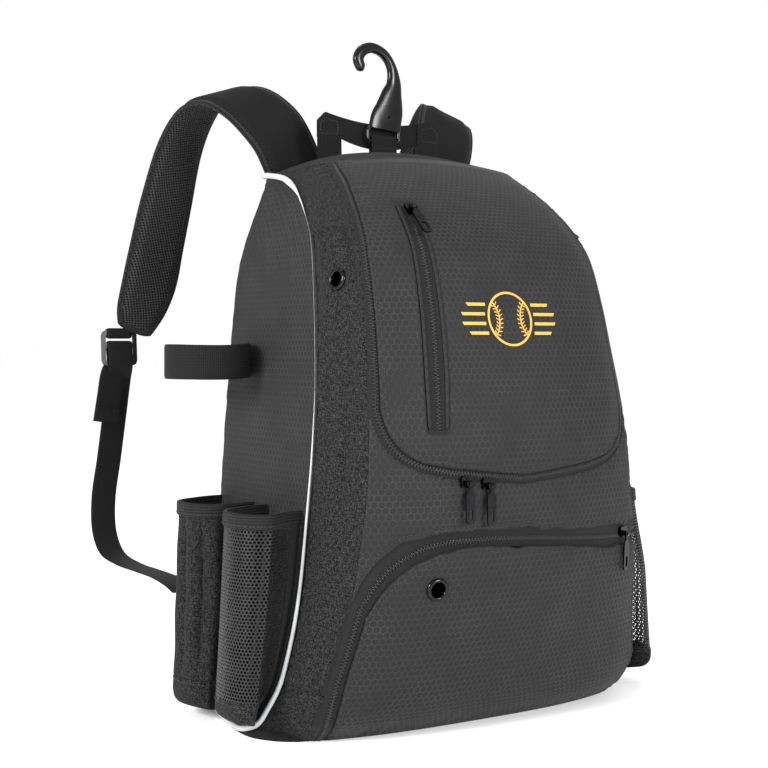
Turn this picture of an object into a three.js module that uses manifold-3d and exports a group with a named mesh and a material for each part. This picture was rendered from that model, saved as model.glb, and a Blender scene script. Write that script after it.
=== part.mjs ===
// Baseball bat backpack, standing on its base. Millimetres, +Z up, front faces -Y.
// The body is a hollow shell of thin sewn panels that run between three seam curves:
// back edge, piping and front seam. Rows give each curve as shares of the named sizes.
import * as THREE from 'three';
import { mergeVertices } from 'three/addons/utils/BufferGeometryUtils.js';
import Module from 'manifold-3d';

const wasm = await Module();
wasm.setup();

// Named sizes
const seamHeight = 483;       // base to the flap's top seam, at its ends
const halfWidth = 163.5;      // widest half width of the front seam
const frontDepth = 134;       // deepest reach of the front seam
const backDepth = 100;        // back panel, behind the origin
const tall = seamHeight / 483;  // heights typed for a seam 483 mm high follow it
const gap = 0.35;             // clearance between sewn neighbours
const clothThick = 2;         // plain panels
const padThick = 7;           // padded back
const tapeThick = 1.6;        // zip tapes and webbing
const pipeRadius = 1.7;
const webWidth = 25;          // adjuster webbing
const handleWidth = 26;
const hookWebWidth = 28;
const strapThick = 11;        // padded shoulder straps
const sleeveOut = 211;        // bat sleeve, from the middle plane to its outside
const sleeveHalf = 34;
const netOut = 213;           // bottle pocket
const netHalf = 36;
const pocketTop = 188;
const bindingHeight = 12;
const cuffTop = 37;
const batLoopHeight = 30;
const eyeletRadius = 9.6;
const eyeletHole = 6.2;
const pullLength = 33;
const pullWidth = 8.4;
const pinRadius = 1.1;
const pinClear = 0.25;

// Seam curves: [height share, x share, y share]
const frontSeam = [
  [0, 0.960, -0.552], [0.021, 0.979, -0.649], [0.041, 0.991, -0.716], [0.083, 1, -0.796],
  [0.124, 0.979, -0.836], [0.166, 0.948, -0.873], [0.248, 0.911, -0.940],
  [0.331, 0.887, -0.985], [0.414, 0.856, -1], [0.497, 0.838, -0.990], [0.580, 0.813, -0.952],
  [0.663, 0.789, -0.899], [0.745, 0.771, -0.836], [0.828, 0.752, -0.743],
  [0.870, 0.734, -0.649], [0.911, 0.709, -0.515], [0.952, 0.673, -0.343],
  [0.983, 0.636, -0.179], [1, 0.606, -0.090]];
const pipeSeam = [
  [0.0104, 1.168, -0.149], [0.026, 1.150, -0.328], [0.054, 1.125, -0.410],
  [0.095, 1.089, -0.485], [0.141, 1.052, -0.504], [0.203, 1.015, -0.522],
  [0.271, 0.979, -0.518], [0.342, 0.954, -0.515], [0.418, 0.930, -0.513],
  [0.484, 0.911, -0.510], [0.594, 0.881, -0.484], [0.681, 0.856, -0.433],
  [0.768, 0.832, -0.369], [0.857, 0.801, -0.269], [0.903, 0.783, -0.154],
  [0.946, 0.752, 0.027], [0.974, 0.731, 0.239], [0.989, 0.722, 0.500]];
const backSeam = [
  [0.0104, 0.991, 0.96], [0.414, 0.917, 1], [0.725, 0.844, 1], [0.828, 0.807, 0.98],
  [0.907, 0.765, 0.86], [0.946, 0.740, 0.78], [0.989, 0.718, 0.70]];
const bulgeRows = [[0, 18], [0.207, 24], [0.518, 24], [0.828, 18], [1, 6]];
const crownHeight = 8.6;      // front panel rises to the middle of its top seam
const backCrown = 23;

// Cubic through the rows, with slopes from the neighbours
function curveAt(rows, t) {
  const n = rows.length - 1;
  const x = Math.min(Math.max(t, rows[0][0]), rows[n][0]);
  let i = 0;
  while (i < n - 1 && x > rows[i + 1][0]) i++;
  const a = rows[i], b = rows[i + 1], h = b[0] - a[0], s = (x - a[0]) / h;
  const slope = (k, c) => {
    const p = rows[Math.max(k - 1, 0)], q = rows[Math.min(k + 1, n)];
    return (q[c] - p[c]) / (q[0] - p[0]);
  };
  return a.slice(1).map((_, k) => {
    const c = k + 1, s2 = s * s, s3 = s2 * s;
    return (2 * s3 - 3 * s2 + 1) * a[c] + (s3 - 2 * s2 + s) * h * slope(i, c)
      + (3 * s2 - 2 * s3) * b[c] + (s3 - s2) * h * slope(i + 1, c);
  });
}
function lineAt(rows, t) {
  const n = rows.length - 1;
  const x = Math.min(Math.max(t, rows[0][0]), rows[n][0]);
  let i = 0;
  while (i < n - 1 && x > rows[i + 1][0]) i++;
  const s = (x - rows[i][0]) / (rows[i + 1][0] - rows[i][0]);
  return rows[i].slice(1).map((v, k) => v + (rows[i + 1][k + 1] - v) * s);
}
const smooth = (t) => { const c = Math.min(Math.max(t, 0), 1); return c * c * (3 - 2 * c); };
const V = (x, y, z) => new THREE.Vector3(x, y, z);
const mix = (a, b, t) => a.clone().lerp(b, t);
const range = (n, a = 0, b = 1) => Array.from({ length: n + 1 }, (_, i) => a + (b - a) * i / n);

const frontEdge = (z) => {
  const [x, y] = curveAt(frontSeam, z / seamHeight);
  return [x * halfWidth, y * frontDepth];
};
const pipeEdge = (z) => {
  const [x, y] = curveAt(pipeSeam, z / seamHeight);
  return [x * halfWidth, y * frontDepth];
};
const backEdge = (z) => {
  const [x, y] = curveAt(backSeam, z / seamHeight);
  return [x * halfWidth, y * backDepth];
};

// Inward direction shared by all panels, so that neighbouring rims stay parallel
function inward(p) {
  const a = halfWidth * 1.06, b = 118, c = seamHeight * 0.52;
  const u = p.x / a, v = (p.y + 10) / b, w = (p.z - c) / (c * 1.02);
  return V(-(u ** 3) / a, -(v ** 3) / b, -(w ** 3) / c).normalize();
}

// Front surface from its elevation: x across, z up, lift outward
function frontPoint(x, z, lift = 0) {
  const [w, y] = frontEdge(z);
  const [b] = lineAt(bulgeRows, z / seamHeight);
  const s = Math.min(Math.abs(x / w), 1);
  const rise = crownHeight * (1 - s * s) * smooth((z / seamHeight - 0.787) / 0.213);
  const p = V(x, y - b * (1 - s ** 3), z + rise);
  return lift ? p.addScaledVector(frontNormal(x, z), lift) : p;
}
function frontNormal(x, z) {
  const e = 1.5, zl = Math.max(z - e, 0), zh = Math.min(z + e, seamHeight);
  const du = frontPoint(x + e, z).sub(frontPoint(x - e, z));
  const dv = frontPoint(x, zh).sub(frontPoint(x, zl));
  return du.cross(dv).normalize();
}

const root = new THREE.Group();
root.name = 'baseball_bat_backpack';
const paint = {
  hex: [0x3f4043, 0.85], canvas: [0x2c2d30, 0.9], tape: [0x141416, 0.7],
  web: [0x18181a, 0.8], pipe: [0xd9dadb, 0.5], net: [0x232425, 0.9],
  pad: [0x222325, 0.95], plastic: [0x0c0c0d, 0.3], metal: [0x3a3b3e, 0.3],
};
function add(name, geometry, kind) {
  const [color, roughness] = paint[kind];
  const m = new THREE.Mesh(geometry, new THREE.MeshStandardMaterial({
    color, roughness, metalness: kind === 'metal' ? 0.9 : 0 }));
  m.name = name;
  root.add(m);
  return m;
}

// Closed solid between two equal grids of points
function slab(outer, inner) {
  const rows = outer.length, cols = outer[0].length, pos = [], idx = [];
  for (const g of [outer, inner]) for (const r of g) for (const p of r) pos.push(p.x, p.y, p.z);
  const at = (k, i, j) => k * rows * cols + i * cols + j;
  const quad = (a, b, c, d) => idx.push(a, b, c, a, c, d);
  for (let i = 0; i < rows - 1; i++) for (let j = 0; j < cols - 1; j++) {
    quad(at(0, i, j), at(0, i, j + 1), at(0, i + 1, j + 1), at(0, i + 1, j));
    quad(at(1, i, j), at(1, i + 1, j), at(1, i + 1, j + 1), at(1, i, j + 1));
  }
  for (let i = 0; i < rows - 1; i++) {
    quad(at(0, i, 0), at(0, i + 1, 0), at(1, i + 1, 0), at(1, i, 0));
    const e = cols - 1;
    quad(at(0, i, e), at(1, i, e), at(1, i + 1, e), at(0, i + 1, e));
  }
  for (let j = 0; j < cols - 1; j++) {
    quad(at(0, 0, j), at(1, 0, j), at(1, 0, j + 1), at(0, 0, j + 1));
    const e = rows - 1;
    quad(at(0, e, j), at(0, e, j + 1), at(1, e, j + 1), at(1, e, j));
  }
  return solid(pos, idx);
}
// Merged, and turned so that its volume is positive
function solid(pos, idx) {
  let g = new THREE.BufferGeometry();
  g.setAttribute('position', new THREE.Float32BufferAttribute(pos, 3));
  g.setIndex(idx);
  g = mergeVertices(g, 1e-3);
  const p = g.attributes.position, n = g.index.array, keep = [];
  let vol = 0;
  for (let i = 0; i < n.length; i += 3) {
    if (n[i] === n[i + 1] || n[i + 1] === n[i + 2] || n[i] === n[i + 2]) continue;
    keep.push(n[i], n[i + 1], n[i + 2]);
    const [a, b, c] = [0, 1, 2].map((k) => V().fromBufferAttribute(p, n[i + k]));
    vol += a.dot(b.cross(c));
  }
  if (vol < 0) for (let i = 0; i < keep.length; i += 3) {
    [keep[i], keep[i + 1]] = [keep[i + 1], keep[i]];
  }
  g.setIndex(keep);
  return g;
}
// Panel: an outer grid thickened along the shared inward direction
function panel(grid, thick) {
  return slab(grid, grid.map((r) => r.map((p) => p.clone().addScaledVector(inward(p), thick))));
}
// Solid swept from frames {p, a, b}: the profile's u runs along a and v along b
function sweep(frames, profile, closed = false) {
  const n = profile.length, pos = [], idx = [];
  for (const f of frames) for (const [u, v] of profile) {
    const q = f.p.clone().addScaledVector(f.a, u).addScaledVector(f.b, v);
    pos.push(q.x, q.y, q.z);
  }
  const m = frames.length, last = closed ? m : m - 1;
  for (let i = 0; i < last; i++) for (let j = 0; j < n; j++) {
    const a = i * n + j, b = i * n + (j + 1) % n;
    const c = ((i + 1) % m) * n + (j + 1) % n, d = ((i + 1) % m) * n + j;
    idx.push(a, b, c, a, c, d);
  }
  if (!closed) for (let j = 1; j < n - 1; j++) {
    idx.push(0, j + 1, j);
    idx.push((m - 1) * n, (m - 1) * n + j, (m - 1) * n + j + 1);
  }
  return solid(pos, idx);
}
const rect = (w, t) => [[-w / 2, -t / 2], [w / 2, -t / 2], [w / 2, t / 2], [-w / 2, t / 2]];
const ring = (r, n) => range(n - 1, 0, 2 * Math.PI * (n - 1) / n).map(
  (a) => [r * Math.cos(a), r * Math.sin(a)]);
// Frames along a path, with a given width direction at each point
function framesAlong(points, widths, closed = false) {
  const m = points.length;
  return points.map((p, i) => {
    const q = points[closed ? (i + 1) % m : Math.min(i + 1, m - 1)];
    const o = points[closed ? (i + m - 1) % m : Math.max(i - 1, 0)];
    const t = q.clone().sub(o).normalize();
    const w = (Array.isArray(widths) ? widths[i] : widths).clone();
    const a = w.addScaledVector(t, -w.dot(t)).normalize();
    return { p, a, b: t.clone().cross(a).normalize() };
  });
}
function toManifold(g) {
  const m = mergeVertices(g.clone().deleteAttribute('normal').deleteAttribute('uv'), 1e-3);
  return new wasm.Manifold(new wasm.Mesh({ numProp: 3,
    vertProperties: new Float32Array(m.attributes.position.array),
    triVerts: new Uint32Array(m.index.array) }));
}
function fromManifold(m) {
  const o = m.getMesh();
  return solid(Array.from(o.vertProperties), Array.from(o.triVerts));
}
// Body frame at a point: columns u, v, n
const basis = (u, v, n, p) => new THREE.Matrix4().makeBasis(u, v, n).setPosition(p);
function extrude(outline, holes, depth, matrix, bevel = 0) {
  const s = new THREE.Shape(outline.map(([x, y]) => new THREE.Vector2(x, y)));
  for (const h of holes) s.holes.push(new THREE.Path(h.map(([x, y]) => new THREE.Vector2(x, y))));
  const g = new THREE.ExtrudeGeometry(s, { depth: depth - 2 * bevel, bevelEnabled: bevel > 0,
    bevelSize: bevel, bevelOffset: -bevel, bevelThickness: bevel, bevelSegments: 1, curveSegments: 6 });
  g.translate(0, 0, -depth / 2 + bevel);
  if (matrix) g.applyMatrix4(matrix);
  return solid(Array.from(g.attributes.position.array),
    Array.from({ length: g.attributes.position.count }, (_, i) => i));
}
const box = (u, v, w, m) => extrude(rect(u, v), [], w, m);
const roundRect = (w, h, r, n = 2) => [[1, 1], [-1, 1], [-1, -1], [1, -1]].flatMap(([sx, sy], k) =>
  range(n, k * Math.PI / 2, (k + 1) * Math.PI / 2).map((a) => [
    sx * (w / 2 - r) + r * Math.cos(a), sy * (h / 2 - r) + r * Math.sin(a)]));
const mirrored = (g) => {
  const p = Array.from(g.attributes.position.array);
  for (let i = 0; i < p.length; i += 3) p[i] = -p[i];
  return solid(p, Array.from(g.index.array));
};
const bothSides = (name, left, kind) => {
  add(`${name}_left`, left, kind);
  add(`${name}_right`, mirrored(left), kind);
};

// Side panel, from the piping to the back seam
const sideBulge = 3;
const sidePoint = (z, v) => {
  const [px, py] = pipeEdge(z), [bx, by] = backEdge(z);
  return V(-(px + (bx - px) * v + sideBulge * 4 * v * (1 - v)), py + (by - py) * v, z);
};
const sideLow = seamHeight * 0.0104, sideHigh = seamHeight * 0.986;
{
  const zs = [sideLow, ...[20, 45, 80, ...range(6, 120, 440), 457].map((z) => z * tall), sideHigh];
  const grid = zs.map((z) => {
    const run = pipeEdge(z)[1] < backEdge(z)[1] ? backEdge(z)[1] - pipeEdge(z)[1] : 1;
    const e = (gap + 0.2) / run;
    return range(5, e, 1 - e).map((v) => sidePoint(z + (z === zs[0] ? gap : 0), v));
  });
  bothSides('side_panel', panel(grid, clothThick), 'hex');
}

// Gusset, from the top seam down the front corner, then back along the base
const groundRow = [[-166, -70], [-181, -57], [-191.5, -34], [-189, 5], [-178, 46], [-162.6, 94]];
const topCorner = [-118.4, 44, 475 * tall];
const footZ = [0, 12, 30, 48, 68, 90].map((z) => z * tall);    // shared along the foot of the front seam
function gussetPoint(a, b, v, bow = 3) {
  const p = mix(a, b, v);
  return p.addScaledVector(inward(p), -bow * 4 * v * (1 - v));
}
const fz = [...[483, 475, 464, 450, 432, 410, 380, 340, 300, 260, 220, 180, 140, 110].map((z) => z * tall),
  ...footZ.slice().reverse()];
const pz = [475, 471, 465, 456, 441, 417, 385, 342, 302, 262, 222, 182, 142, 112, 94, 73, 54, 38, 24, 15]
  .map((z) => z * tall);
const gussetRows = (() => {
  const rows = fz.map((z, i) => {
    const [px, py] = pipeEdge(pz[i]), [fx, fy] = frontEdge(z);
    return [i ? V(-px, py, pz[i]) : V(...topCorner), V(-fx, fy, z)];
  });
  const low = [[0.021, 0], [0.016, 0], [0.0104, 0], [0.0104, 0.2], [0.0104, 0.55], [0.0104, 0.985]];
  low.forEach(([k, v], i) => {
    const z = k * seamHeight, p = v ? sidePoint(z, v) : V(-pipeEdge(z)[0], pipeEdge(z)[1], z);
    rows.push([p, V(groundRow[i][0], groundRow[i][1], 0)]);
  });
  return rows;
})();
const eyeletBand = { row: 6.1, v: 0.5 };
function gussetAt(row, v) {
  const i = Math.floor(row), s = row - i, r = gussetRows;
  return mix(gussetPoint(r[i][0], r[i][1], v), gussetPoint(r[i + 1][0], r[i + 1][1], v), s);
}
let bandEyelet;
{
  const grid = gussetRows.map(([a, b], i) => {
    const len = a.distanceTo(b), e = (gap + 0.1) / len;
    const bow = i < fz.length ? 3 : 0;
    return range(3, e, 1 - e).map((v) => gussetPoint(a, b, v, bow));
  });
  grid[0] = grid[0].map((p, j) => mix(p, grid[1][j], 0.06));
  const c = gussetAt(eyeletBand.row, eyeletBand.v);
  const u = gussetAt(eyeletBand.row, 0.8).sub(gussetAt(eyeletBand.row, 0.2)).normalize();
  const v0 = gussetAt(eyeletBand.row - 0.6, 0.5).sub(gussetAt(eyeletBand.row + 0.6, 0.5));
  const n = u.clone().cross(v0).normalize();
  bandEyelet = basis(u, n.clone().cross(u), n, c);
  const drill = new THREE.CylinderGeometry(eyeletHole + 1.9, eyeletHole + 1.9, 24, 16);
  drill.rotateX(Math.PI / 2);
  drill.applyMatrix4(bandEyelet);
  const cut = toManifold(panel(grid, clothThick)).subtract(toManifold(drill));
  bothSides('gusset', fromManifold(cut), 'canvas');
}

// Piping along the front and the foot of each side panel
{
  const zs = [sideLow,
    ...[10, 18, 32, 50, ...range(6, 80, 400), 425, 443, 457, 468, 476.5].map((z) => z * tall)];
  const pts = zs.map((z) => V(-pipeEdge(z)[0], pipeEdge(z)[1], z));
  const foot = [0.985, 0.75, 0.5, 0.25, 0.08].map((v) => sidePoint(sideLow, v));
  const line = [...foot, ...pts];
  const out = line.map((p) => p.clone().addScaledVector(inward(p), -(pipeRadius + 1)));
  const low = out.map((p) => V(p.x, p.y, Math.max(p.z, pipeRadius + 1.3)));
  const frames = framesAlong(low, low.map((p) => inward(p)));
  bothSides('piping', sweep(frames, ring(pipeRadius, 5)), 'pipe');
}

// Top panel, from the flap's top seam back to the handle seam
const rearZ = 0.989 * seamHeight;
const backPoint = (x, z, out = 0) => {
  const [w, y] = backEdge(z), s = Math.min(Math.abs(x) / w, 1);
  return V(x, y + 4 * (1 - s * s) + out,
    z + backCrown * (1 - s * s) * smooth((z - 370 * tall) / (rearZ - 370 * tall)));
};
const topArch = 7;
function topPoint(s, v) {
  const rearW = backEdge(rearZ)[0], topW = frontEdge(seamHeight)[0], a = Math.abs(s);
  let front;
  if (a < 0.83) front = frontPoint(s / 0.83 * (topW - 0.5), seamHeight);
  else {
    const t = (a - 0.83) / 0.17;
    const p = mix(V(topW, -12, seamHeight), V(-topCorner[0], topCorner[1], topCorner[2]), t);
    front = V(Math.sign(s) * p.x, p.y, p.z + 10 * t * (1 - t));
  }
  const p = mix(front, backPoint(s * rearW, rearZ), v);
  p.z += topArch * 4 * v * (1 - v) * (1 - s ** 4) + 0.5;
  return p;
}
{
  const grid = [0.01, 0.25, 0.5, 0.75, 0.988].map((v) => range(14, -1, 1).map((s) => topPoint(s, v)));
  add('top_panel', panel(grid, clothThick), 'canvas');
}

// Padded back panel
{
  const zs = [...[3, ...range(6, 40, 400), 425, 445, 462].map((z) => z * tall), rearZ - 0.8];
  const grid = zs.map((z) => {
    const w = backEdge(z)[0] - gap;
    return range(8, -1, 1).map((s) => backPoint(s * w, z));
  });
  add('back_panel', panel(grid, padThick), 'pad');
}

// Base panel
const baseOutline = [[0, -92], [0.49, -89], [0.80, -81], [0.96, -73.6], [1.015, -69.6], [1.106, -56.6],
  [1.168, -34]];
const baseRear = [[0, 96.5], [0.985, 94], [1.08, 46], [1.148, 5], [1.168, -30]];
{
  const xs = [-1.165, -1.13, -1.08, -1, -0.9, ...range(8, -0.75, 0.75), 0.9, 1, 1.08, 1.13, 1.165];
  const edge = 1.1;
  const grid = [0, 0.2, 0.5, 0.8, 1].map((v) => xs.map((s) => {
    const a = Math.abs(s), x = s * (halfWidth - edge);
    const yf = lineAt(baseOutline, a)[0] + edge, yr = lineAt(baseRear, a)[0] - edge;
    return V(x, yf + (yr - yf) * v, 0);
  }));
  const top = grid.map((r) => r.map((p) => {
    const d = inward(p);
    return p.clone().addScaledVector(d, clothThick / Math.max(d.z, 0.45));
  }));
  add('base_panel', slab(grid, top), 'canvas');
}

// Front: flap, its zip, middle panel, lower pocket and its zip, all on the front surface
const flapHalf = [[0.563, 0.758], [0.594, 0.746], [0.675, 0.731], [0.758, 0.719], [0.824, 0.709],
  [0.884, 0.676], [0.932, 0.636], [0.97, 0.596], [1, 0.572]];
const flapLow = [[0, 0.450], [0.363, 0.4596], [0.605, 0.468], [0.79, 0.480], [0.90, 0.501],
  [0.965, 0.530], [1, 0.571]];
const flapHalfAt = (z) => curveAt(flapHalf, z / seamHeight)[0] * halfWidth;
const flapLift = 2, pocketLift = 3, weltLift = flapLift + 1;
const frontGrid = (pts, lift) => pts.map((r) => r.map(([x, z]) => frontPoint(x, z, lift)));
const flapCols = [-1, -0.985, -0.95, -0.89, -0.78, -0.6, -0.4, -0.2, 0, 0.2, 0.4, 0.6, 0.78, 0.89, 0.95,
  0.985, 1];
const flapEdgeLow = flapCols.map((a) => lineAt(flapLow, Math.abs(a))[0] * seamHeight);
const flapRows = [0, 0.12, 0.27, 0.42, 0.56, 0.68, 0.78, 0.86, 0.93, 0.998];
{
  const grid = flapRows.map((b) =>
    flapCols.map((a, i) => {
      const z = flapEdgeLow[i] + (seamHeight - flapEdgeLow[i]) * b;
      return [a * flapHalfAt(z), z];
    }));
  add('front_flap', panel(frontGrid(grid, flapLift), clothThick + 0.5), 'hex');
}
const midTop = [[0, 0.4249], [0.323, 0.433], [0.54, 0.4405], [0.708, 0.453], [0.834, 0.4715],
  [0.92, 0.4965], [0.974, 0.528], [1, 0.559]];
{
  const sideZ = flapRows.slice(1).reverse().map((b) => flapEdgeLow[0] + (seamHeight - flapEdgeLow[0]) * b);
  const left = sideZ.map((z) => [[-flapHalfAt(z) - gap - 1.2, z], [-(frontEdge(z)[0] - gap - 0.1), z]]);
  const low = flapCols.map((a, i) => {
    const zi = flapEdgeLow[i], d = Math.abs(a), xi = a * (flapHalfAt(zi) + gap + 1.2 * smooth((d - 0.8) / 0.2));
    const s = Math.sign(a) * Math.min(1, d * 0.985 + 0.015 * (d > 0.9 ? 1 : 0));
    const zo = (lineAt(midTop, Math.abs(s))[0]) * seamHeight + gap;
    return [[xi, zi - gap], [s * (frontEdge(zo)[0] - gap - 0.1), zo]];
  });
  const right = left.map((r) => r.map(([x, z]) => [-x, z])).reverse();
  const pairs = [...left, ...low, ...right];
  const grid = pairs.map(([p, q]) => [0, 0.5, 1].map((t) =>
    [p[0] + (q[0] - p[0]) * t, p[1] + (q[1] - p[1]) * t]));
  add('flap_zip', panel(frontGrid(grid, 0), tapeThick), 'tape');
}
const midLow = [[-1, 0.236], [-0.985, 0.267], [-0.971, 0.286], [-0.90, 0.3225], [-0.778, 0.3515],
  [-0.615, 0.3635], [-0.308, 0.3665], [0, 0.3645], [0.28, 0.3560], [0.627, 0.3510], [0.89, 0.3480],
  [1, 0.3455]];
{
  const cols = [-1, -0.985, -0.97, -0.94, -0.9, -0.85, -0.778, -0.708, -0.615, -0.45, -0.308, -0.15, 0,
    0.15, 0.323, 0.45, 0.54, 0.627, 0.708, 0.78, 0.834, 0.88, 0.92, 0.95, 0.974, 1];
  const grid = [0, 0.33, 0.67, 1].map((b) => cols.map((s) => {
    const lo = lineAt(midLow, s)[0] * seamHeight + gap, hi = lineAt(midTop, Math.abs(s))[0] * seamHeight - gap;
    const z = lo + (hi - lo) * b;
    return [s * (frontEdge(z)[0] - gap - 0.1), z];
  }));
  add('middle_panel', panel(frontGrid(grid, 0), clothThick), 'hex');
}
const pocketLeft = [[0, -0.884], [0.052, -0.911], [0.104, -0.908], [0.155, -0.875], [0.217, -0.838],
  [0.34, -0.82]];
const pocketTopRow = [[0, 0.217], [0.02, 0.245], [0.06, 0.272], [0.12, 0.300], [0.19, 0.322], [0.27, 0.331],
  [0.42, 0.331], [0.6, 0.323], [0.8, 0.313], [1, 0.306]];
const pocketCols = [0, 0.02, 0.06, 0.12, 0.19, 0.27, 0.345, 0.42, 0.51, 0.6, 0.7, 0.8, 0.9, 1];
const pocketPoint = (a, z) => {
  const xl = lineAt(pocketLeft, z / seamHeight)[0] * halfWidth, xr = frontEdge(z)[0] - gap - 0.1;
  return [xl + (xr - xl) * a, z];
};
const pocketEyelet = [-82, 129 * tall];
const pocketFrame = (() => {
  const [x, z] = pocketEyelet, n = frontNormal(x, z);
  const u = V(1, 0, 0).addScaledVector(n, -n.x).normalize();
  return basis(u, n.clone().cross(u), n, frontPoint(x, z, pocketLift));
})();
{
  const rows = [...footZ.map((z) => z / (0.217 * seamHeight)), 1];
  const grid = rows.map((b) => pocketCols.map((a) => {
    const hi = lineAt(pocketTopRow, a)[0] * seamHeight;
    return pocketPoint(a, Math.max(hi * b, 0.2));
  }));
  const lift = (z) => pocketLift * smooth(z / 30);
  const pts = grid.map((r) => r.map(([x, z]) => frontPoint(x, z, lift(z))));
  pts[0].forEach((p) => { p.z = 0; });
  const drill = new THREE.CylinderGeometry(eyeletHole + 1.9, eyeletHole + 1.9, 24, 16);
  drill.rotateX(Math.PI / 2);
  drill.applyMatrix4(pocketFrame);
  const cut = toManifold(panel(pts, clothThick + 0.5)).subtract(toManifold(drill));
  add('lower_pocket', fromManifold(cut), 'hex');
}
{
  const up = [0.2, ...footZ.slice(1), 0.217 * seamHeight - gap].map((z) => {
    const zo = z;
    return [[pocketPoint(0, z)[0] - gap - 0.1, z], [-(frontEdge(zo)[0] - gap - 0.2), zo]];
  });
  const overS = [-1, -0.985, -0.94, -0.86, -0.74, -0.615, -0.46, -0.308, -0.13, 0.05, 0.28, 0.5, 0.75, 1];
  const over = pocketCols.slice(1).map((a, i) => {
    const hi = lineAt(pocketTopRow, a)[0] * seamHeight + gap, [x] = pocketPoint(a, hi);
    const s = i ? overS[i] : -0.995;
    const zo = lineAt(midLow, s)[0] * seamHeight - gap;
    return [[x - (a < 0.15 ? gap : 0), hi], [s * (frontEdge(zo)[0] - gap - 0.1), zo]];
  });
  const last = over[over.length - 1];
  const zo = lineAt(midLow, 1)[0] * seamHeight - gap;
  last[1] = [frontEdge(zo)[0] - gap - 0.1, zo];
  const pairs = [...up, ...over];
  const grid = pairs.map(([p, q]) => [0, 0.5, 1].map((t) =>
    [p[0] + (q[0] - p[0]) * t, p[1] + (q[1] - p[1]) * t]));
  const pts = frontGrid(grid, 0);
  pts[0].forEach((p) => { p.z = 0; });
  add('lower_zip', panel(pts, tapeThick), 'tape');
}
// Welt zip on the flap: [height share, left x, right x]
const welt = [[0.528, -0.552, -0.452], [0.613, -0.538, -0.422], [0.70, -0.520, -0.404], [0.775, -0.507, -0.395],
  [0.832, -0.496, -0.393], [0.87, -0.485, -0.385], [0.908, -0.471, -0.375]];
{
  const grid = range(12, 0.528, 0.908).map((k) => {
    const [l, r] = lineAt(welt, k);
    return [0, 0.5, 1].map((t) => frontPoint((l + (r - l) * t) * halfWidth, k * seamHeight, weltLift));
  });
  const out = grid.map((r) => r.map((p) => p.clone().addScaledVector(inward(p), -tapeThick)));
  add('flap_welt_zip', slab(out, grid), 'tape');
}

// Eyelets: a flanged ring through the cloth
function eyelet(frame) {
  const r = eyeletHole, o = eyeletHole + 1.5, f = eyeletRadius, up = 1.1, dn = -4.2;
  const pts = [[r, dn], [o, dn], [o, up], [f, up], [f - 0.6, up + 1.4], [r + 0.5, up + 1.6]];
  const frames = range(15, 0, 2 * Math.PI * 15 / 16).map((t) => ({
    p: V(0, 0, 0), a: V(Math.cos(t), Math.sin(t), 0), b: V(0, 0, 1) }));
  return sweep(frames, pts, true).applyMatrix4(frame);
}
bothSides('eyelet', eyelet(bandEyelet), 'metal');
add('eyelet_pocket', eyelet(pocketFrame), 'metal');

// Zip sliders and their hinged pulls; u runs along the hinge, v up the cloth, n outward
const hinges = {};
function slider(name, x, z, lift, long) {
  const n = frontNormal(x, z), u = V(1, 0, 0).addScaledVector(n, -n.x).normalize();
  const v = n.clone().cross(u);
  const at = (a, b, c) => basis(u, v, n, frontPoint(x, z, lift)
    .addScaledVector(u, a).addScaledVector(v, b).addScaledVector(n, c));
  const w = long ? 9 : 12, h = long ? 12 : 9;
  let body = toManifold(extrude(roundRect(w, h, 2), [], 3, at(0, 0, 2.1)));
  const lug = 1.3, inner = 2.1, py = long ? -2.5 : -1.5, pz = 6.4;
  for (const s of [-1, 1]) {
    body = body.add(toManifold(box(lug, 3.6, 5.2, at(s * (inner + lug / 2), py, pz - 1))));
  }
  const pin = new THREE.CylinderGeometry(pinRadius, pinRadius, 2 * inner + lug, 10);
  pin.rotateZ(Math.PI / 2);
  pin.applyMatrix4(at(0, py, pz));
  body = body.add(toManifold(pin));
  add(`slider_${name}`, fromManifold(body), 'metal');
  // Pull: eye barrel and a plate that hangs down the cloth
  const eyeO = pinRadius + pinClear + 1;
  let pull = toManifold(extrude(ring(eyeO, 10), [ring(pinRadius + pinClear, 10).reverse()], 2 * inner - 0.8,
    basis(v, n, u, V().setFromMatrixPosition(at(0, py, pz)))));
  const neck = box(2 * inner - 1, 5, 1.5, at(0, py - eyeO - 1.9, pz));
  const low = extrude(roundRect(pullWidth, pullLength - 6, 3),
    [roundRect(pullWidth - 4.4, 9, 1.4).map(([a, b]) => [a, b - (pullLength - 6) / 2 + 7.6]).reverse()],
    1.5, at(0, py - eyeO - 3 - (pullLength - 6) / 2, pz));
  pull = pull.add(toManifold(neck)).add(toManifold(low));
  add(`pull_${name}`, fromManifold(pull), 'metal');
  const c = V().setFromMatrixPosition(at(0, py, pz));
  hinges[`pull_${name}`] = { pos: c.toArray(), axis: u.toArray() };
}
slider('flap_pocket', -68.5, 432 * tall, weltLift + tapeThick, true);
slider('flap_zip_a', -58, 214.5 * tall, 0, false);
slider('flap_zip_b', -38, 212 * tall, 0, false);
slider('lower_pocket', 122, 160.5 * tall, -1.1, false);
root.userData.hinges = hinges;

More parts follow.
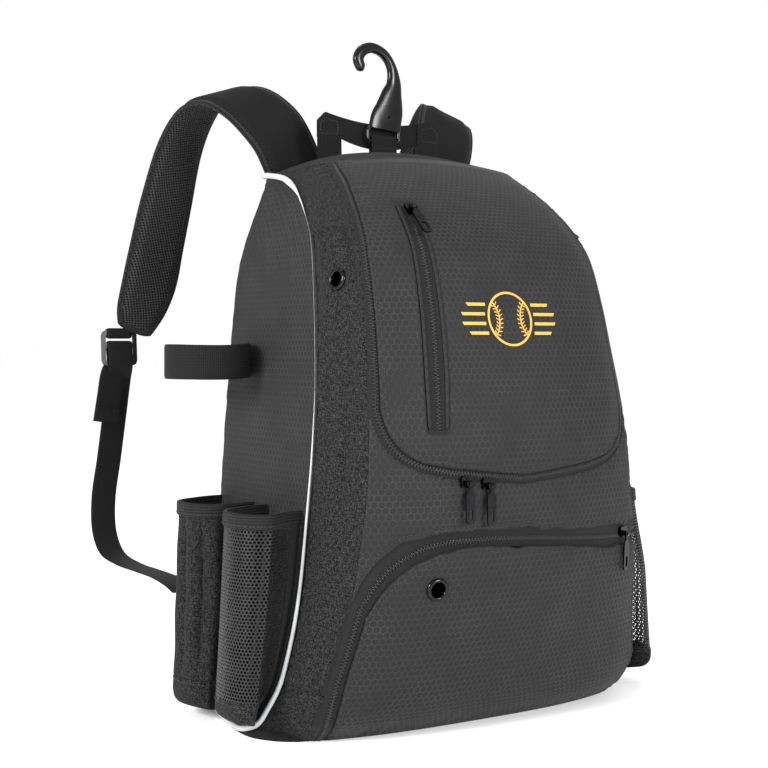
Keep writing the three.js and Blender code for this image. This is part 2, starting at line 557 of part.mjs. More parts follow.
// Side pockets: pouches whose feet stand on the side wall, between two shares of its width
function pouchPoint(side, z, phi, q, inset, k = 1) {
  const zf = Math.max(z, sideLow + 1.5);
  const [px, py] = pipeEdge(zf), [bx, by] = backEdge(zf), run = Math.hypot(by - py, bx - px);
  const v0 = Math.max(q.front, 9 / run), v1 = q.rear, w = (1 - Math.cos(phi)) / 2;
  const foot = sidePoint(zf, v0 + (v1 - v0) * w), s = Math.sin(phi), turn = Math.sign(Math.cos(phi));
  const low = 1 - z / pocketTop, belly = side > 0 ? smooth(low * 2.2) : 0;
  const yFree = q.y + q.shift * belly - turn * Math.abs(Math.cos(phi)) ** 0.8 * q.half;
  const y = foot.y + (yFree - foot.y) * smooth(s * 1.9) * k + turn * inset;
  const share = Math.min(Math.max((y - py) / (by - py), 0), 1);
  const wall = sidePoint(zf, share).x - 0.9 - 0.7 * smooth((30 - z) / 12);
  const out = q.out + q.flare * low + q.full * belly - inset;
  return V(wall - (out + wall) * s ** 0.62 * k, y, z);
}
function pouch(name, q, kindWall, kindTrim, wallThick) {
  for (const side of [-1, 1]) {
    const phis = range(10, 0, Math.PI), label = side < 0 ? 'left' : 'right';
    const put = (part, g, kind) => add(`${name}${part}_${label}`, side < 0 ? g : mirrored(g), kind);
    const wall = (zs, inset) => zs.map((z) => phis.map((f) => pouchPoint(side, z, f, q, inset)));
    const zs = range(4, cuffTop + gap, pocketTop - bindingHeight - gap);
    put('', slab(wall(zs, 0), wall(zs, wallThick)), kindWall);
    const bz = [pocketTop - bindingHeight, pocketTop];
    put('_binding', slab(wall(bz, -0.7), wall(bz, wallThick + 0.7)), kindTrim);
    // Cuff: closes under the pocket, down to its foot on the side wall
    const shape = [[1, cuffTop], [0.98, 24], [0.91, 15], [0.73, 10.8], [0.4, 9.2], [0.02, 9]];
    const cuff = (inset) => shape.map(([k, z]) => phis.map((f) =>
      pouchPoint(side, z + inset * smooth((24 - z) / 12), f, q, inset * Math.min(1, k * 3), k)));
    put('_cuff', slab(cuff(0), cuff(wallThick)), kindTrim);
  }
}
const netPocket = {
  front: 0.03, rear: 0.40, y: -43, half: netHalf, out: netOut, flare: 9, full: 6, shift: -6,
};
const batPocket = {
  front: 0.54, rear: 0.95, y: 51, half: sleeveHalf, out: sleeveOut, flare: 5, full: 0, shift: 0,
};
pouch('bottle_pocket', netPocket, 'net', 'canvas', 1.8);
pouch('bat_sleeve', batPocket, 'canvas', 'canvas', 1.8);

// Bat strap: an upright loop of webbing on each side wall
{
  const z = 310 * tall, rx = 38, ry = 33, wall = sidePoint(z, 0.72);
  const pts = range(23, 0, 2 * Math.PI * 23 / 24).map((t) => V(wall.x - rx - 2.6 - Math.cos(t) * rx,
    56 + Math.sin(t) * ry, z));
  const frames = framesAlong(pts, V(0, 0, 1), true);
  bothSides('bat_strap', sweep(frames, rect(batLoopHeight, tapeThick), true), 'web');
}

// Haul handle: flat webbing, folded at its corners
const handleY = 63, hookY = 57;
const topAt = (x, y) => {
  const s = x / backEdge(rearZ)[0], a = topPoint(s, 0).y, b = topPoint(s, 1).y;
  return topPoint(s, Math.min((y - a) / (b - a), 1)).z;
};
{
  const o = 69, i = o - handleWidth, top = seamHeight + 58.5, sag = 8;
  const outer = topAt(o, handleY) + 0.5, inner = topAt(i, handleY) + 0.5;
  const over = range(8, -1, 1).map((s) => [s * (o - 9), top - sag * (1 - s * s)]);
  const under = range(8, 1, -1).map((s) => [s * i, top - handleWidth + 3 - sag * (1 - s * s)]);
  const outline = [
    [-o, outer], [-o, top - 9], ...over, [o, top - 9], [o, outer], [i, inner], ...under, [-i, inner]];
  add('haul_handle', extrude(outline.reverse(), [], 2.2, basis(V(1, 0, 0), V(0, 0, 1), V(0, -1, 0),
    V(0, handleY, 0))), 'web');
}
// Hook webbing: up the front of the hook's bar, over it and down behind
const barZ = seamHeight + 34;
{
  const c = hookY, r = 2.6, foot = topAt(0, c) + 1;
  const arc = range(6, Math.PI, 0).map((t) => V(0, c + r * Math.cos(t), barZ + 2.4 + r * Math.sin(t)));
  const pts = [V(0, c - r, foot), ...arc, V(0, c + r, foot)];
  add('hook_webbing', sweep(framesAlong(pts, V(1, 0, 0)), rect(hookWebWidth, 1.5)), 'web');
}
// Hook: a J that tapers from a slotted base; [x, z, half width, half depth]
{
  const J = [[2.3, 528, 18.5, 3.4], [3.5, 537, 17.5, 3.6], [6.8, 547, 15.6, 4], [9.7, 561, 11.6, 4.2],
    [12.2, 573.4, 7.6, 4.2], [9.4, 588.5, 4.9, 4.2], [1.1, 599.7, 4.6, 4.2], [-11.5, 604.6, 4.9, 4.2],
    [-22.3, 601.6, 5.4, 4.2], [-27.6, 593.5, 5.4, 4.2], [-25.2, 585.5, 4.7, 4.4], [-22.5, 582, 3.4, 3.6]];
  const frames = framesAlong(J.map(([x, z]) => V(x, hookY, z + barZ - 517)), V(0, 1, 0));
  const n = 10, pos = [], idx = [];
  frames.forEach((f, i) => ring(1, n).forEach(([u, v]) => {
    const q = f.p.clone().addScaledVector(f.a, u * J[i][3]).addScaledVector(f.b, v * J[i][2]);
    pos.push(q.x, q.y, q.z);
  }));
  for (let i = 0; i < J.length - 1; i++) for (let j = 0; j < n; j++) {
    const a = i * n + j, b = i * n + (j + 1) % n;
    idx.push(a, b, b + n, a, b + n, a + n);
  }
  for (let j = 1; j < n - 1; j++) {
    idx.push(0, j + 1, j);
    idx.push((J.length - 1) * n, (J.length - 1) * n + j, (J.length - 1) * n + j + 1);
  }
  const frame = (w, h, d, x, z) => box(w, h, d, basis(V(1, 0, 0), V(0, 0, 1), V(0, -1, 0), V(x, hookY, z)));
  let hook = toManifold(solid(pos, idx));
  hook = hook.add(toManifold(frame(38, 10, 5, 0, barZ + 12)));
  hook = hook.subtract(toManifold(frame(30.5, 5.4, 12, 0, barZ + 5)));
  for (const s of [-1, 1]) hook = hook.add(toManifold(frame(3.4, 18, 5, s * 17.3, barZ + 6)));
  hook = hook.add(toManifold(frame(38, 3.6, 3, 0, barZ - 0.2)));
  add('fence_hook', fromManifold(hook), 'plastic');
}

// Shoulder straps: rows of inner and outer edge points, left side
const strapRows = [
  [-38, 89.9, 462, -97, 91, 454], [-45, 90.4, 490, -103, 90.6, 472], [-53, 97, 519, -110, 92, 490],
  [-62, 107, 543, -116, 96, 505], [-73, 123, 561, -124, 106, 521], [-84, 139, 571, -134, 121, 538],
  [-93, 158, 573, -145, 141, 551], [-101, 180, 566, -155, 161, 552], [-107, 203, 545, -162, 180, 540],
  [-111, 222, 513, -168, 200, 514], [-114, 238, 462, -173, 227, 464], [-118, 248, 420, -177, 243, 422],
  [-123, 254, 383, -181, 252, 388], [-131, 262, 356, -182, 262, 362], [-145, 266.5, 333.4, -178, 269.5, 346]];
const rightSplay = 18;
function strap(side) {
  const edge = strapRows.map((r, i) => {
    const add = side > 0 ? rightSplay * Math.sin(Math.PI * Math.min(i / 12, 1)) : 0;
    return [V(side * (-r[0] + add), r[1], r[2] * tall), V(side * (-r[3] + add), r[4], r[5] * tall)];
  });
  const mid = edge.map(([a, b]) => mix(a, b, 0.5));
  const f = framesAlong(mid, edge.map(([a, b]) => b.clone().sub(a)));
  const pos = [], idx = [], prof = [[-1, -0.25], [-0.9, -0.5], [0, -0.5], [0.9, -0.5], [1, -0.25], [1, 0.25],
    [0.9, 0.5], [0, 0.5], [-0.9, 0.5], [-1, 0.25]];
  const n = prof.length;
  f.forEach(({ p, b }, i) => prof.forEach(([u, v]) => {
    const w = edge[i][1].clone().sub(edge[i][0]).multiplyScalar(0.5);
    const t = strapThick * (i === 0 || i === f.length - 1 ? 0.55 : 1);
    const q = p.clone().addScaledVector(w, u).addScaledVector(b, v * t);
    pos.push(q.x, q.y, q.z);
  }));
  const m = f.length;
  for (let i = 0; i < m - 1; i++) for (let j = 0; j < n; j++) {
    const a = i * n + j, b = i * n + (j + 1) % n;
    idx.push(a, b, b + n, a, b + n, a + n);
  }
  for (let j = 1; j < n - 1; j++) {
    idx.push(0, j + 1, j);
    idx.push((m - 1) * n, (m - 1) * n + j, (m - 1) * n + j + 1);
  }
  return solid(pos, idx);
}
add('shoulder_strap_left', strap(-1), 'pad');
add('shoulder_strap_right', strap(1), 'pad');

// Ladder lock, strap tab and adjuster webbing
{
  const c = V(-176.5, 272, 321 * tall), u = V(0.98, -0.1, 0).normalize();
  const v = V(0, 0.1, 0.995).addScaledVector(u, 0.1 * 0.1 / 0.985).normalize(), n = u.clone().cross(v);
  const at = (a, b, d) => c.clone().addScaledVector(u, a).addScaledVector(v, b).addScaledVector(n, d);
  const hole = (b0, b1) => [[-14, b0], [14, b0], [14, b1], [-14, b1]].reverse();
  bothSides('ladder_lock', extrude(roundRect(36, 36, 5), [hole(4.5, 12.5), hole(-12.5, -0.5)], 4,
    basis(u, v, n, c)), 'plastic');
  const arc = range(6, Math.PI, 2 * Math.PI).map((t) => at(0, 13.4 + 3.3 * Math.sin(t), 3.3 * Math.cos(t)));
  const tab = [at(0, 19.6, -3.3), ...arc, at(0, 19.6, 3.3)];
  bothSides('strap_tab', sweep(framesAlong(tab, u), rect(webWidth, tapeThick)), 'web');
  const down = [[-174, 279, 288], [-176, 286, 250], [-180, 290, 208], [-186, 289, 170], [-190, 278, 139],
    [-192, 253, 119], [-190, 217, 112], [-187, 180, 110], [-184, 148, 108], [-182, 124, 104],
    [-180.5, 112.6, 100]];
  const over = range(6, 0, Math.PI).map((t) => at(0, 3.4 + 3.3 * Math.sin(t), 3.3 * Math.cos(t)));
  const tail = [[-5, -24, -6], [-9, -48, -9], [-13, -74, -12]].map(([a, b, d]) => at(a, b, d));
  const path = [...tail.reverse(), ...[-17].map((b) => at(0, b, -3.8)), ...over.reverse(), at(0, -17, 4),
    ...down.map(([x, y, z]) => V(x, y, z * tall))];
  bothSides('adjuster_webbing', sweep(framesAlong(path, u), rect(webWidth, 1.3)), 'web');
}
// Anchor: a triangular patch that holds the webbing at the back seam
{
  const high = 128 * tall, foot = 62 * tall, top = backEdge(high), low = backEdge(foot);
  const tri = [V(-top[0] + 1, top[1] + 1.4, high), V(-low[0] + 1, low[1] + 1.4, foot),
    V(-176, 109.5, 84 * tall), V(-176, 109.5, 108 * tall)];
  const n = tri[1].clone().sub(tri[0]).cross(tri[2].clone().sub(tri[0])).normalize().multiplyScalar(1.6);
  const g = (q) => [
    [tri[0].clone().add(q), tri[3].clone().add(q)], [tri[1].clone().add(q), tri[2].clone().add(q)]];
  const faces = [0.5, -0.5].map((k) => g(n.clone().multiplyScalar(k)));
  bothSides('strap_anchor', slab(...faces), 'canvas');
}

export default root;
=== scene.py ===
# Baseball bat backpack: the looks of every piece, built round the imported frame. Sizes are in millimetres.
import math

import bpy
import numpy as np
from mathutils.bvhtree import BVHTree
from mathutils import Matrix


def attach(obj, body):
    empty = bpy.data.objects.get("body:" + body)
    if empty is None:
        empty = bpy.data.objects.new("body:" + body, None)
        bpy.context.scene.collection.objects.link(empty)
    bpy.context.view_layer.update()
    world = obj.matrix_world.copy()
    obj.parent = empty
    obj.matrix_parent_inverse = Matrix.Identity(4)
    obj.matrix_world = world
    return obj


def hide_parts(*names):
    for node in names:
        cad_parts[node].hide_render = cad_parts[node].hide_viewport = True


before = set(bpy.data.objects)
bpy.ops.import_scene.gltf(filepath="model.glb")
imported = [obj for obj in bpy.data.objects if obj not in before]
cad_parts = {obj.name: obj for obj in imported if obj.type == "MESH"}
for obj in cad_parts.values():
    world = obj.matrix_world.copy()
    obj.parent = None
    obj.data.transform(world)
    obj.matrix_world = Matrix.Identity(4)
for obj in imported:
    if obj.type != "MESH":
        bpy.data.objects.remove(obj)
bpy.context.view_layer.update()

# The studio is a pale floor under a soft white sky, with a strong light on the left and one in front.
# The camera stands where the photograph was taken, 33 degrees round to the bag's left-hand side.
MM = 0.001
turn = math.radians(33)
camera_far, camera_aside, camera_high = 1375, 30, 328
focal_px, frame_px, horizon_px = 1500, 768, 341
camera = bpy.data.objects.new("camera", bpy.data.cameras.new("camera"))
camera.data.lens = camera.data.sensor_width * focal_px / frame_px
camera.data.shift_y = (horizon_px - frame_px / 2) / frame_px
camera.location = (-(camera_far * math.sin(turn) + camera_aside * math.cos(turn)) * MM,
                   -(camera_far * math.cos(turn) - camera_aside * math.sin(turn)) * MM, camera_high * MM)
camera.rotation_euler = (math.pi / 2, 0, -turn)
bpy.context.scene.collection.objects.link(camera)
bpy.context.scene.camera = camera
bpy.context.scene.view_settings.view_transform = "Standard"


def linear(code):
    """Blender's linear colour for an sRGB hex value."""
    part = [int(code[i:i + 2], 16) / 255 for i in (1, 3, 5)]
    return [c / 12.92 if c <= 0.04045 else ((c + 0.055) / 1.055) ** 2.4 for c in part] + [1]


def node(tree, kind, inputs=None, **settings):
    """Adds a node with its settings; each input is a value or the socket that feeds it."""
    added = tree.nodes.new(kind)
    for key, value in settings.items():
        setattr(added, key, value)
    for key, value in (inputs or {}).items():
        if isinstance(value, bpy.types.NodeSocket):
            tree.links.new(value, added.inputs[key])
        else:
            added.inputs[key].default_value = value
    return added


def material(name, colour, **constants):
    """A material with one shader, whose constant sockets are set on the shader itself."""
    made = bpy.data.materials.new(name)
    made.use_nodes = True
    shader = made.node_tree.nodes["Principled BSDF"]
    shader.inputs["Base Color"].default_value = linear(colour)
    for key, value in constants.items():
        shader.inputs[key.replace("_", " ")].default_value = value
    return made, made.node_tree, shader


# Matt white painted board: it only gives a clean ground for the bag's own shadow.
board, _, _ = material("matt_white_board", "#ffffff", Roughness=0.9)
floor_mesh = bpy.data.meshes.new("floor")
floor_reach = 60
floor_corners = [(-1, -1), (1, -1), (1, 1), (-1, 1)]
floor_mesh.from_pydata([(x * floor_reach, y * floor_reach, 0) for x, y in floor_corners], [], [(0, 1, 2, 3)])
floor_mesh.materials.append(board)
floor = bpy.data.objects.new("floor", floor_mesh)
bpy.context.scene.collection.objects.link(floor)

sky = bpy.data.worlds.new("white_sky")
sky.use_nodes = True
sky.node_tree.nodes["Background"].inputs["Color"].default_value = linear("#ffffff")
sky.node_tree.nodes["Background"].inputs["Strength"].default_value = 1.0
bpy.context.scene.world = sky
for label, place, aim, size, power in (
        ("left_light", (-1.9, -0.3, 0.9), (0, 0, 0.25), 0.6, 62),
        ("front_light", (0.3, -2.1, 0.85), (0, 0, 0.3), 0.7, 58),
        ("top_light", (-0.2, 0.2, 1.9), (0, 0, 0.3), 0.5, 5)):
    lamp = bpy.data.objects.new(label, bpy.data.lights.new(label, "AREA"))
    lamp.data.size = size
    lamp.data.energy = power
    lamp.location = place
    away = np.array(place) - np.array(aim)
    tilt, round_z = math.atan2(math.hypot(away[0], away[1]), away[2]), math.atan2(away[0], -away[1])
    lamp.rotation_euler = (tilt, 0, round_z)
    bpy.context.scene.collection.objects.link(lamp)

# The side panels are hexagon ripstop, cut flat and sewn between the piping and the back seam.
# They are held only by their seams, so they dish a little between them. The seam lines of the whole
# body start here: each row gives a height, a half width and a depth as shares of the bag's sizes.
seam_height, half_width, front_depth, back_depth = 483, 163.5, 134, 100
front_seam = [
    [0, 0.960, -0.552], [0.021, 0.979, -0.649], [0.041, 0.991, -0.716], [0.083, 1, -0.796],
    [0.124, 0.979, -0.836], [0.166, 0.948, -0.873], [0.248, 0.911, -0.940], [0.331, 0.887, -0.985],
    [0.414, 0.856, -1], [0.497, 0.838, -0.990], [0.580, 0.813, -0.952], [0.663, 0.789, -0.899],
    [0.745, 0.771, -0.836], [0.828, 0.752, -0.743], [0.870, 0.734, -0.649], [0.911, 0.709, -0.515],
    [0.952, 0.673, -0.343], [0.983, 0.636, -0.179], [1, 0.606, -0.090]]
piping_seam = [
    [0.0104, 1.168, -0.149], [0.026, 1.150, -0.328], [0.054, 1.125, -0.410], [0.095, 1.089, -0.485],
    [0.141, 1.052, -0.504], [0.203, 1.015, -0.522], [0.271, 0.979, -0.518], [0.342, 0.954, -0.515],
    [0.418, 0.930, -0.513], [0.484, 0.911, -0.510], [0.594, 0.881, -0.484], [0.681, 0.856, -0.433],
    [0.768, 0.832, -0.369], [0.857, 0.801, -0.269], [0.903, 0.783, -0.154], [0.946, 0.752, 0.027],
    [0.974, 0.731, 0.239], [0.989, 0.722, 0.500]]
back_seam = [
    [0.0104, 0.991, 0.96], [0.414, 0.917, 1], [0.725, 0.844, 1], [0.828, 0.807, 0.98],
    [0.907, 0.765, 0.86], [0.946, 0.740, 0.78], [0.989, 0.718, 0.70]]
seam_gap, side_bulge = 0.35, 3
side_low, side_high = seam_height * 0.0104, seam_height * 0.986
body_middle = np.array([0, -10, 230.0])


def curve(rows, t):
    """Smooth curve through a table's rows, whose first column is the place along it."""
    rows = np.array(rows, float)
    x = np.clip(np.asarray(t, float), rows[0, 0], rows[-1, 0])
    i = np.clip(np.searchsorted(rows[:, 0], x, side="right") - 1, 0, len(rows) - 2)
    low, high = np.maximum(np.arange(len(rows)) - 1, 0), np.minimum(np.arange(len(rows)) + 1, len(rows) - 1)
    slope = (rows[high, 1:] - rows[low, 1:]) / (rows[high, :1] - rows[low, :1])
    h = (rows[i + 1, 0] - rows[i, 0])[..., None]
    s = (x - rows[i, 0])[..., None] / h
    value = ((2 * s**3 - 3 * s**2 + 1) * rows[i, 1:] + (s**3 - 2 * s**2 + s) * h * slope[i]
             + (3 * s**2 - 2 * s**3) * rows[i + 1, 1:] + (s**3 - s**2) * h * slope[i + 1])
    return np.moveaxis(value, -1, 0)


def smooth(t):
    t = np.clip(t, 0, 1)
    return t * t * (3 - 2 * t)


def front_edge(z):
    x, y = curve(front_seam, z / seam_height)
    return x * half_width, y * front_depth


def piping_edge(z):
    x, y = curve(piping_seam, z / seam_height)
    return x * half_width, y * front_depth


def back_edge(z):
    x, y = curve(back_seam, z / seam_height)
    return x * half_width, y * back_depth


def side_point(z, v):
    """Left side wall at height z, from the piping (v = 0) to the back seam (v = 1)."""
    px, py = piping_edge(z)
    bx, by = back_edge(z)
    return np.stack(np.broadcast_arrays(-(px + (bx - px) * v + side_bulge * 4 * v * (1 - v)),
                                        py + (by - py) * v, z), -1)


def spaced(count, low=0.0, high=1.0, tight=0.65):
    """Places from low to high that crowd towards both ends, where the cloth turns into its seams."""
    t = np.linspace(0, 1, count)
    return low + (high - low) * (t * (1 - tight) + tight * (1 - np.cos(math.pi * t)) / 2)


def lengths(grid, axis):
    """Distance along one axis of a grid of points, from its first row or column."""
    step = np.linalg.norm(np.diff(grid, axis=axis), axis=-1)
    return np.insert(np.cumsum(step, axis=axis), 0, 0, axis=axis)


def flat_map(grid):
    """Where each point lies on the cloth before it was sewn, in mm from the middle column's foot."""
    u, v, middle = lengths(grid, 1), lengths(grid, 0), grid.shape[1] // 2
    return np.stack([u - u[:, middle:middle + 1], np.repeat(v[:, middle:middle + 1], grid.shape[1], 1)], -1)


def arc(line):
    return np.insert(np.cumsum(np.linalg.norm(np.diff(line, axis=0), axis=1)), 0, 0)


def border(grid, sides="left low right high"):
    """Edge points of a grid, for sides named in their order round it."""
    lines = {"left": grid[::-1, 0], "low": grid[0], "right": grid[:, -1], "high": grid[-1, ::-1]}
    return np.concatenate([lines[side] for side in sides.split()])


def from_edge(grid, sides="left low right high"):
    """Each point's distance from the named edges, and how far along them the nearest spot is."""
    line = border(grid, sides)
    line = line[np.insert(np.linalg.norm(np.diff(line, axis=0), axis=1) > 1e-6, 0, True)]
    s = arc(line)
    fine = np.linspace(0, s[-1], int(s[-1] / 0.8) + 2)
    dense = np.column_stack([np.interp(fine, s, line[:, k]) for k in range(3)])
    ahead = np.gradient(dense, axis=0)
    ahead /= np.maximum(np.linalg.norm(ahead, axis=1, keepdims=True), 1e-9)
    away, along = np.zeros(grid.shape[:2]), np.zeros(grid.shape[:2])
    for i, row in enumerate(grid):
        offset = row[:, None] - dense[None]
        near = np.argmin((offset**2).sum(-1), 1)
        offset, way = offset[np.arange(len(row)), near], ahead[near]
        offset = offset - way * np.clip((offset * way).sum(1, keepdims=True), -0.5, 0.5)
        away[i], along[i] = np.linalg.norm(offset, axis=1), fine[near]
    return away, along


def turned(distance, radius):
    """How far cloth that is turned in at a seam, with that radius, has dropped."""
    t = 1 - np.clip(distance / radius, 0, 1)
    return radius * (1 - np.sqrt(1 - t * t))


def drift(u, v, size, seed):
    """Slow unevenness of about 1, a sum of waves of about that size."""
    rng = np.random.default_rng(seed)
    total = 0
    for _ in range(7):
        angle, phase = rng.uniform(0, 2 * math.pi, 2)
        k = 2 * math.pi / (size * rng.uniform(0.7, 1.5))
        total = total + np.sin(k * (u * math.cos(angle) + v * math.sin(angle)) + phase)
    return total / 1.9


def puckers(distance, along, depth, pitch, seed, reach=9):
    """Small gathers that run off a seam."""
    wave = np.sin(2 * math.pi * along / pitch + 2.2 * drift(along, 0 * along, pitch * 3.1, seed))
    uneven = 0.65 + 0.35 * drift(along, along, pitch * 6, seed + 1)
    return depth * wave * np.exp(-(distance / reach) ** 2) * uneven


def add_mesh(name, points, faces, finish, nodes=(), plan=None, body="bag", sharp=50):
    """One piece from points in mm. plan is each point's place on its flat cloth."""
    mesh = bpy.data.meshes.new(name)
    mesh.from_pydata((np.asarray(points) * MM).tolist(), [], faces)
    if plan is not None:
        corners = np.zeros(len(mesh.loops), int)
        mesh.loops.foreach_get("vertex_index", corners)
        flat = np.asarray(plan, np.float32)[corners].ravel()
        mesh.uv_layers.new(name="cloth_mm").data.foreach_set("uv", flat)
    mesh.polygons.foreach_set("use_smooth", [True] * len(mesh.polygons))
    mesh.set_sharp_from_angle(angle=math.radians(sharp))
    mesh.materials.append(finish)
    piece = bpy.data.objects.new(name + "_looks" if nodes else name, mesh)
    bpy.context.scene.collection.objects.link(piece)
    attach(piece, body)
    if nodes:
        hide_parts(*nodes)
    return piece


def facing(grid, inside):
    """Unit normals of a grid, pointing away from a point inside, and whether that turned them round."""
    normal = np.cross(np.gradient(grid, axis=1), np.gradient(grid, axis=0))
    normal /= np.maximum(np.linalg.norm(normal, axis=-1, keepdims=True), 1e-9)
    sign = 1 if ((grid - inside) * normal).sum() > 0 else -1
    return normal * sign, sign < 0


def panel_faces(rows, cols, flipped):
    """Faces of a closed sheet: front, back and the four rims."""
    at = np.arange(rows * cols).reshape(rows, cols)
    a, b, c, d = at[:-1, :-1], at[:-1, 1:], at[1:, 1:], at[1:, :-1]
    front = np.stack([a, b, c, d], -1).reshape(-1, 4)
    back = front[:, ::-1] + rows * cols
    border = np.concatenate([at[0, :-1], at[:-1, -1], at[-1, :0:-1], at[:0:-1, 0]])
    ahead = np.roll(border, -1)
    rim = np.stack([ahead, border, border + rows * cols, ahead + rows * cols], -1)
    faces = np.concatenate([front, back, rim])
    return (faces[:, ::-1] if flipped else faces).tolist()


def cloth(name, grid, proud, thick, finish, nodes=(), inside=body_middle, plan=None):
    """Sewn sheet on a grid of points, raised by proud along its normals."""
    normal, flipped = facing(grid, inside)
    proud, thick = (np.broadcast_to(value, grid.shape[:2])[..., None] for value in (proud, thick))
    outer, inner = grid + normal * proud, grid + normal * (proud - thick)
    points = np.concatenate([outer.reshape(-1, 3), inner.reshape(-1, 3)])
    points[:, 2] = np.maximum(points[:, 2], 0.1)    # nothing dips into the ground
    plan = flat_map(grid) if plan is None else plan
    plan = np.concatenate([plan.reshape(-1, 2)] * 2)
    return add_mesh(name, points, panel_faces(*grid.shape[:2], flipped), finish, nodes, plan)


def both_sides(build):
    """Builds a left piece and its mirror image. Each build gets the side's name and its sign along X."""
    for label, sign in (("left", 1), ("right", -1)):
        build(label, np.array([sign, 1, 1]))


def waves(tree, place, steps):
    """Sine waves across and along the flat cloth: the start of every weave."""
    turns = node(tree, "ShaderNodeVectorMath", {0: place, 1: steps}, operation="MULTIPLY").outputs[0]
    wave = node(tree, "ShaderNodeVectorMath", {0: turns}, operation="SINE").outputs[0]
    return node(tree, "ShaderNodeSeparateXYZ", {0: wave}).outputs


def surfaced(made, colour, height, strength, depth):
    """Feeds a colour and a bump, whose depth is in metres, to a material's shader."""
    tree = made.node_tree
    shader = tree.nodes["Principled BSDF"]
    bump = node(tree, "ShaderNodeBump", {"Height": height, "Strength": strength, "Distance": depth}).outputs[0]
    tree.links.new(colour, shader.inputs["Base Color"])
    tree.links.new(bump, shader.inputs["Normal"])
    return made


def hexagon_ripstop():
    """Matt polyester with a raised hexagon grid and a faint sheen; its lines are painted lighter than the
    cells, a painted sheen.
    """
    made, tree, shader = material("hexagon_ripstop_polyester", "#202020", Roughness=0.58, Sheen_Weight=0.02,
                                  Sheen_Roughness=0.45, Specular_IOR_Level=0.16)
    cell_mm = 5.8
    step = (cell_mm, cell_mm * math.sqrt(3), 1)
    half = (step[0] / 2, step[1] / 2, 0)
    place = node(tree, "ShaderNodeUVMap", uv_map="cloth_mm").outputs[0]
    nearest = []
    for shift in ((0, 0, 0), half):
        moved = node(tree, "ShaderNodeVectorMath", {0: place, 1: shift}, operation="SUBTRACT").outputs[0]
        share = node(tree, "ShaderNodeVectorMath", {0: moved, 1: step}, operation="DIVIDE").outputs[0]
        part = node(tree, "ShaderNodeVectorMath", {0: share}, operation="FRACTION").outputs[0]
        nearest.append(node(tree, "ShaderNodeVectorMath", {0: part, 1: step, 2: [-h for h in half]},
                            operation="MULTIPLY_ADD").outputs[0])
    size = [node(tree, "ShaderNodeVectorMath", {0: cell}, operation="LENGTH").outputs["Value"]
            for cell in nearest]
    first = node(tree, "ShaderNodeMath", {0: size[0], 1: size[1]}, operation="LESS_THAN").outputs[0]
    local = node(tree, "ShaderNodeMix", {"Factor": first, 4: nearest[1], 5: nearest[0]},
                 data_type="VECTOR").outputs[1]
    local = node(tree, "ShaderNodeVectorMath", {0: local}, operation="ABSOLUTE").outputs[0]
    slant = node(tree, "ShaderNodeVectorMath", {0: local, 1: (0.5, math.sqrt(3) / 2, 0)},
                 operation="DOT_PRODUCT").outputs["Value"]
    across = node(tree, "ShaderNodeSeparateXYZ", {0: local}).outputs[0]
    reach = node(tree, "ShaderNodeMath", {0: slant, 1: across}, operation="MAXIMUM").outputs[0]
    line = node(tree, "ShaderNodeMapRange",
                {"Value": reach, "From Min": cell_mm / 2 - 0.5, "From Max": cell_mm / 2 - 0.1},
                interpolation_type="SMOOTHSTEP").outputs[0]
    thread_mm = 0.7    # real threads are 0.3 mm apart, too fine to show
    wave = waves(tree, place, (2 * math.pi / thread_mm,) * 3)
    weave = node(tree, "ShaderNodeMath", {0: wave[0], 1: wave[1]}, operation="MULTIPLY").outputs[0]
    height = node(tree, "ShaderNodeMath", {0: weave, 1: 0.10, 2: line}, operation="MULTIPLY_ADD").outputs[0]
    shade = node(tree, "ShaderNodeTexNoise", {"Vector": place, "Scale": 0.022, "Detail": 3.0}).outputs["Fac"]
    cell = node(tree, "ShaderNodeMix", {"Factor": shade, 6: linear("#121212"), 7: linear("#1a1a1a")},
                data_type="RGBA").outputs[2]
    # Painted sheen: the raised grid's lines are painted lighter, more in some patches than in others, where
    # light would catch them
    patch = node(tree, "ShaderNodeTexNoise", {"Vector": place, "Scale": 0.03, "Detail": 2.0}).outputs["Fac"]
    strength = node(tree, "ShaderNodeMapRange", {
        "Value": patch, "From Min": 0.36, "From Max": 0.62, "To Min": 0.15, "To Max": 0.65}).outputs[0]
    share = node(tree, "ShaderNodeMath", {0: line, 1: strength}, operation="MULTIPLY").outputs[0]
    # The lines' lighter colour is a painted highlight on the raised grid
    colour = node(tree, "ShaderNodeMix", {"Factor": share, 6: cell, 7: linear("#303030")},
                  data_type="RGBA").outputs[2]
    rough = node(tree, "ShaderNodeMapRange", {"Value": line, "To Min": 0.66, "To Max": 0.5}).outputs[0]
    tree.links.new(rough, shader.inputs["Roughness"])
    return surfaced(made, colour, height, 0.9, 0.00022)


ripstop = hexagon_ripstop()


def side_panel(label, side):
    z = spaced(96, side_low + seam_gap, side_high)
    run = np.maximum(back_edge(z)[1] - piping_edge(z)[1], 1)
    inset = (seam_gap + 0.2) / run
    v = inset[:, None] + (1 - 2 * inset[:, None]) * spaced(60)[None]
    grid = side_point(np.repeat(z[:, None], 60, 1), v)
    edge, along = from_edge(grid)
    proud = (1.0 * drift(grid[..., 1], grid[..., 2], 120, 3) * smooth(edge / 40) - 0.5 * turned(edge, 3)
             + puckers(edge, along, 0.35, 13, 5) - 1.5 * smooth((edge - 5) / 60))
    # The crown seam gathers the panel into fine upright pleats that fade out below it
    pleat, pleat_low, pleat_fade = 15, 370, 90
    waver = 0.8 * drift(grid[..., 2] * 0.3, grid[..., 1], 40, 7)
    crown = np.sin(2 * math.pi * v * run[:, None] / pleat + waver)
    proud = proud + 0.9 * crown * smooth((z[:, None] - pleat_low) / pleat_fade) * smooth(edge / 9)
    cloth("side_panel_" + label, grid * side, proud, 2, ripstop, ["side_panel_" + label])


both_sides(side_panel)

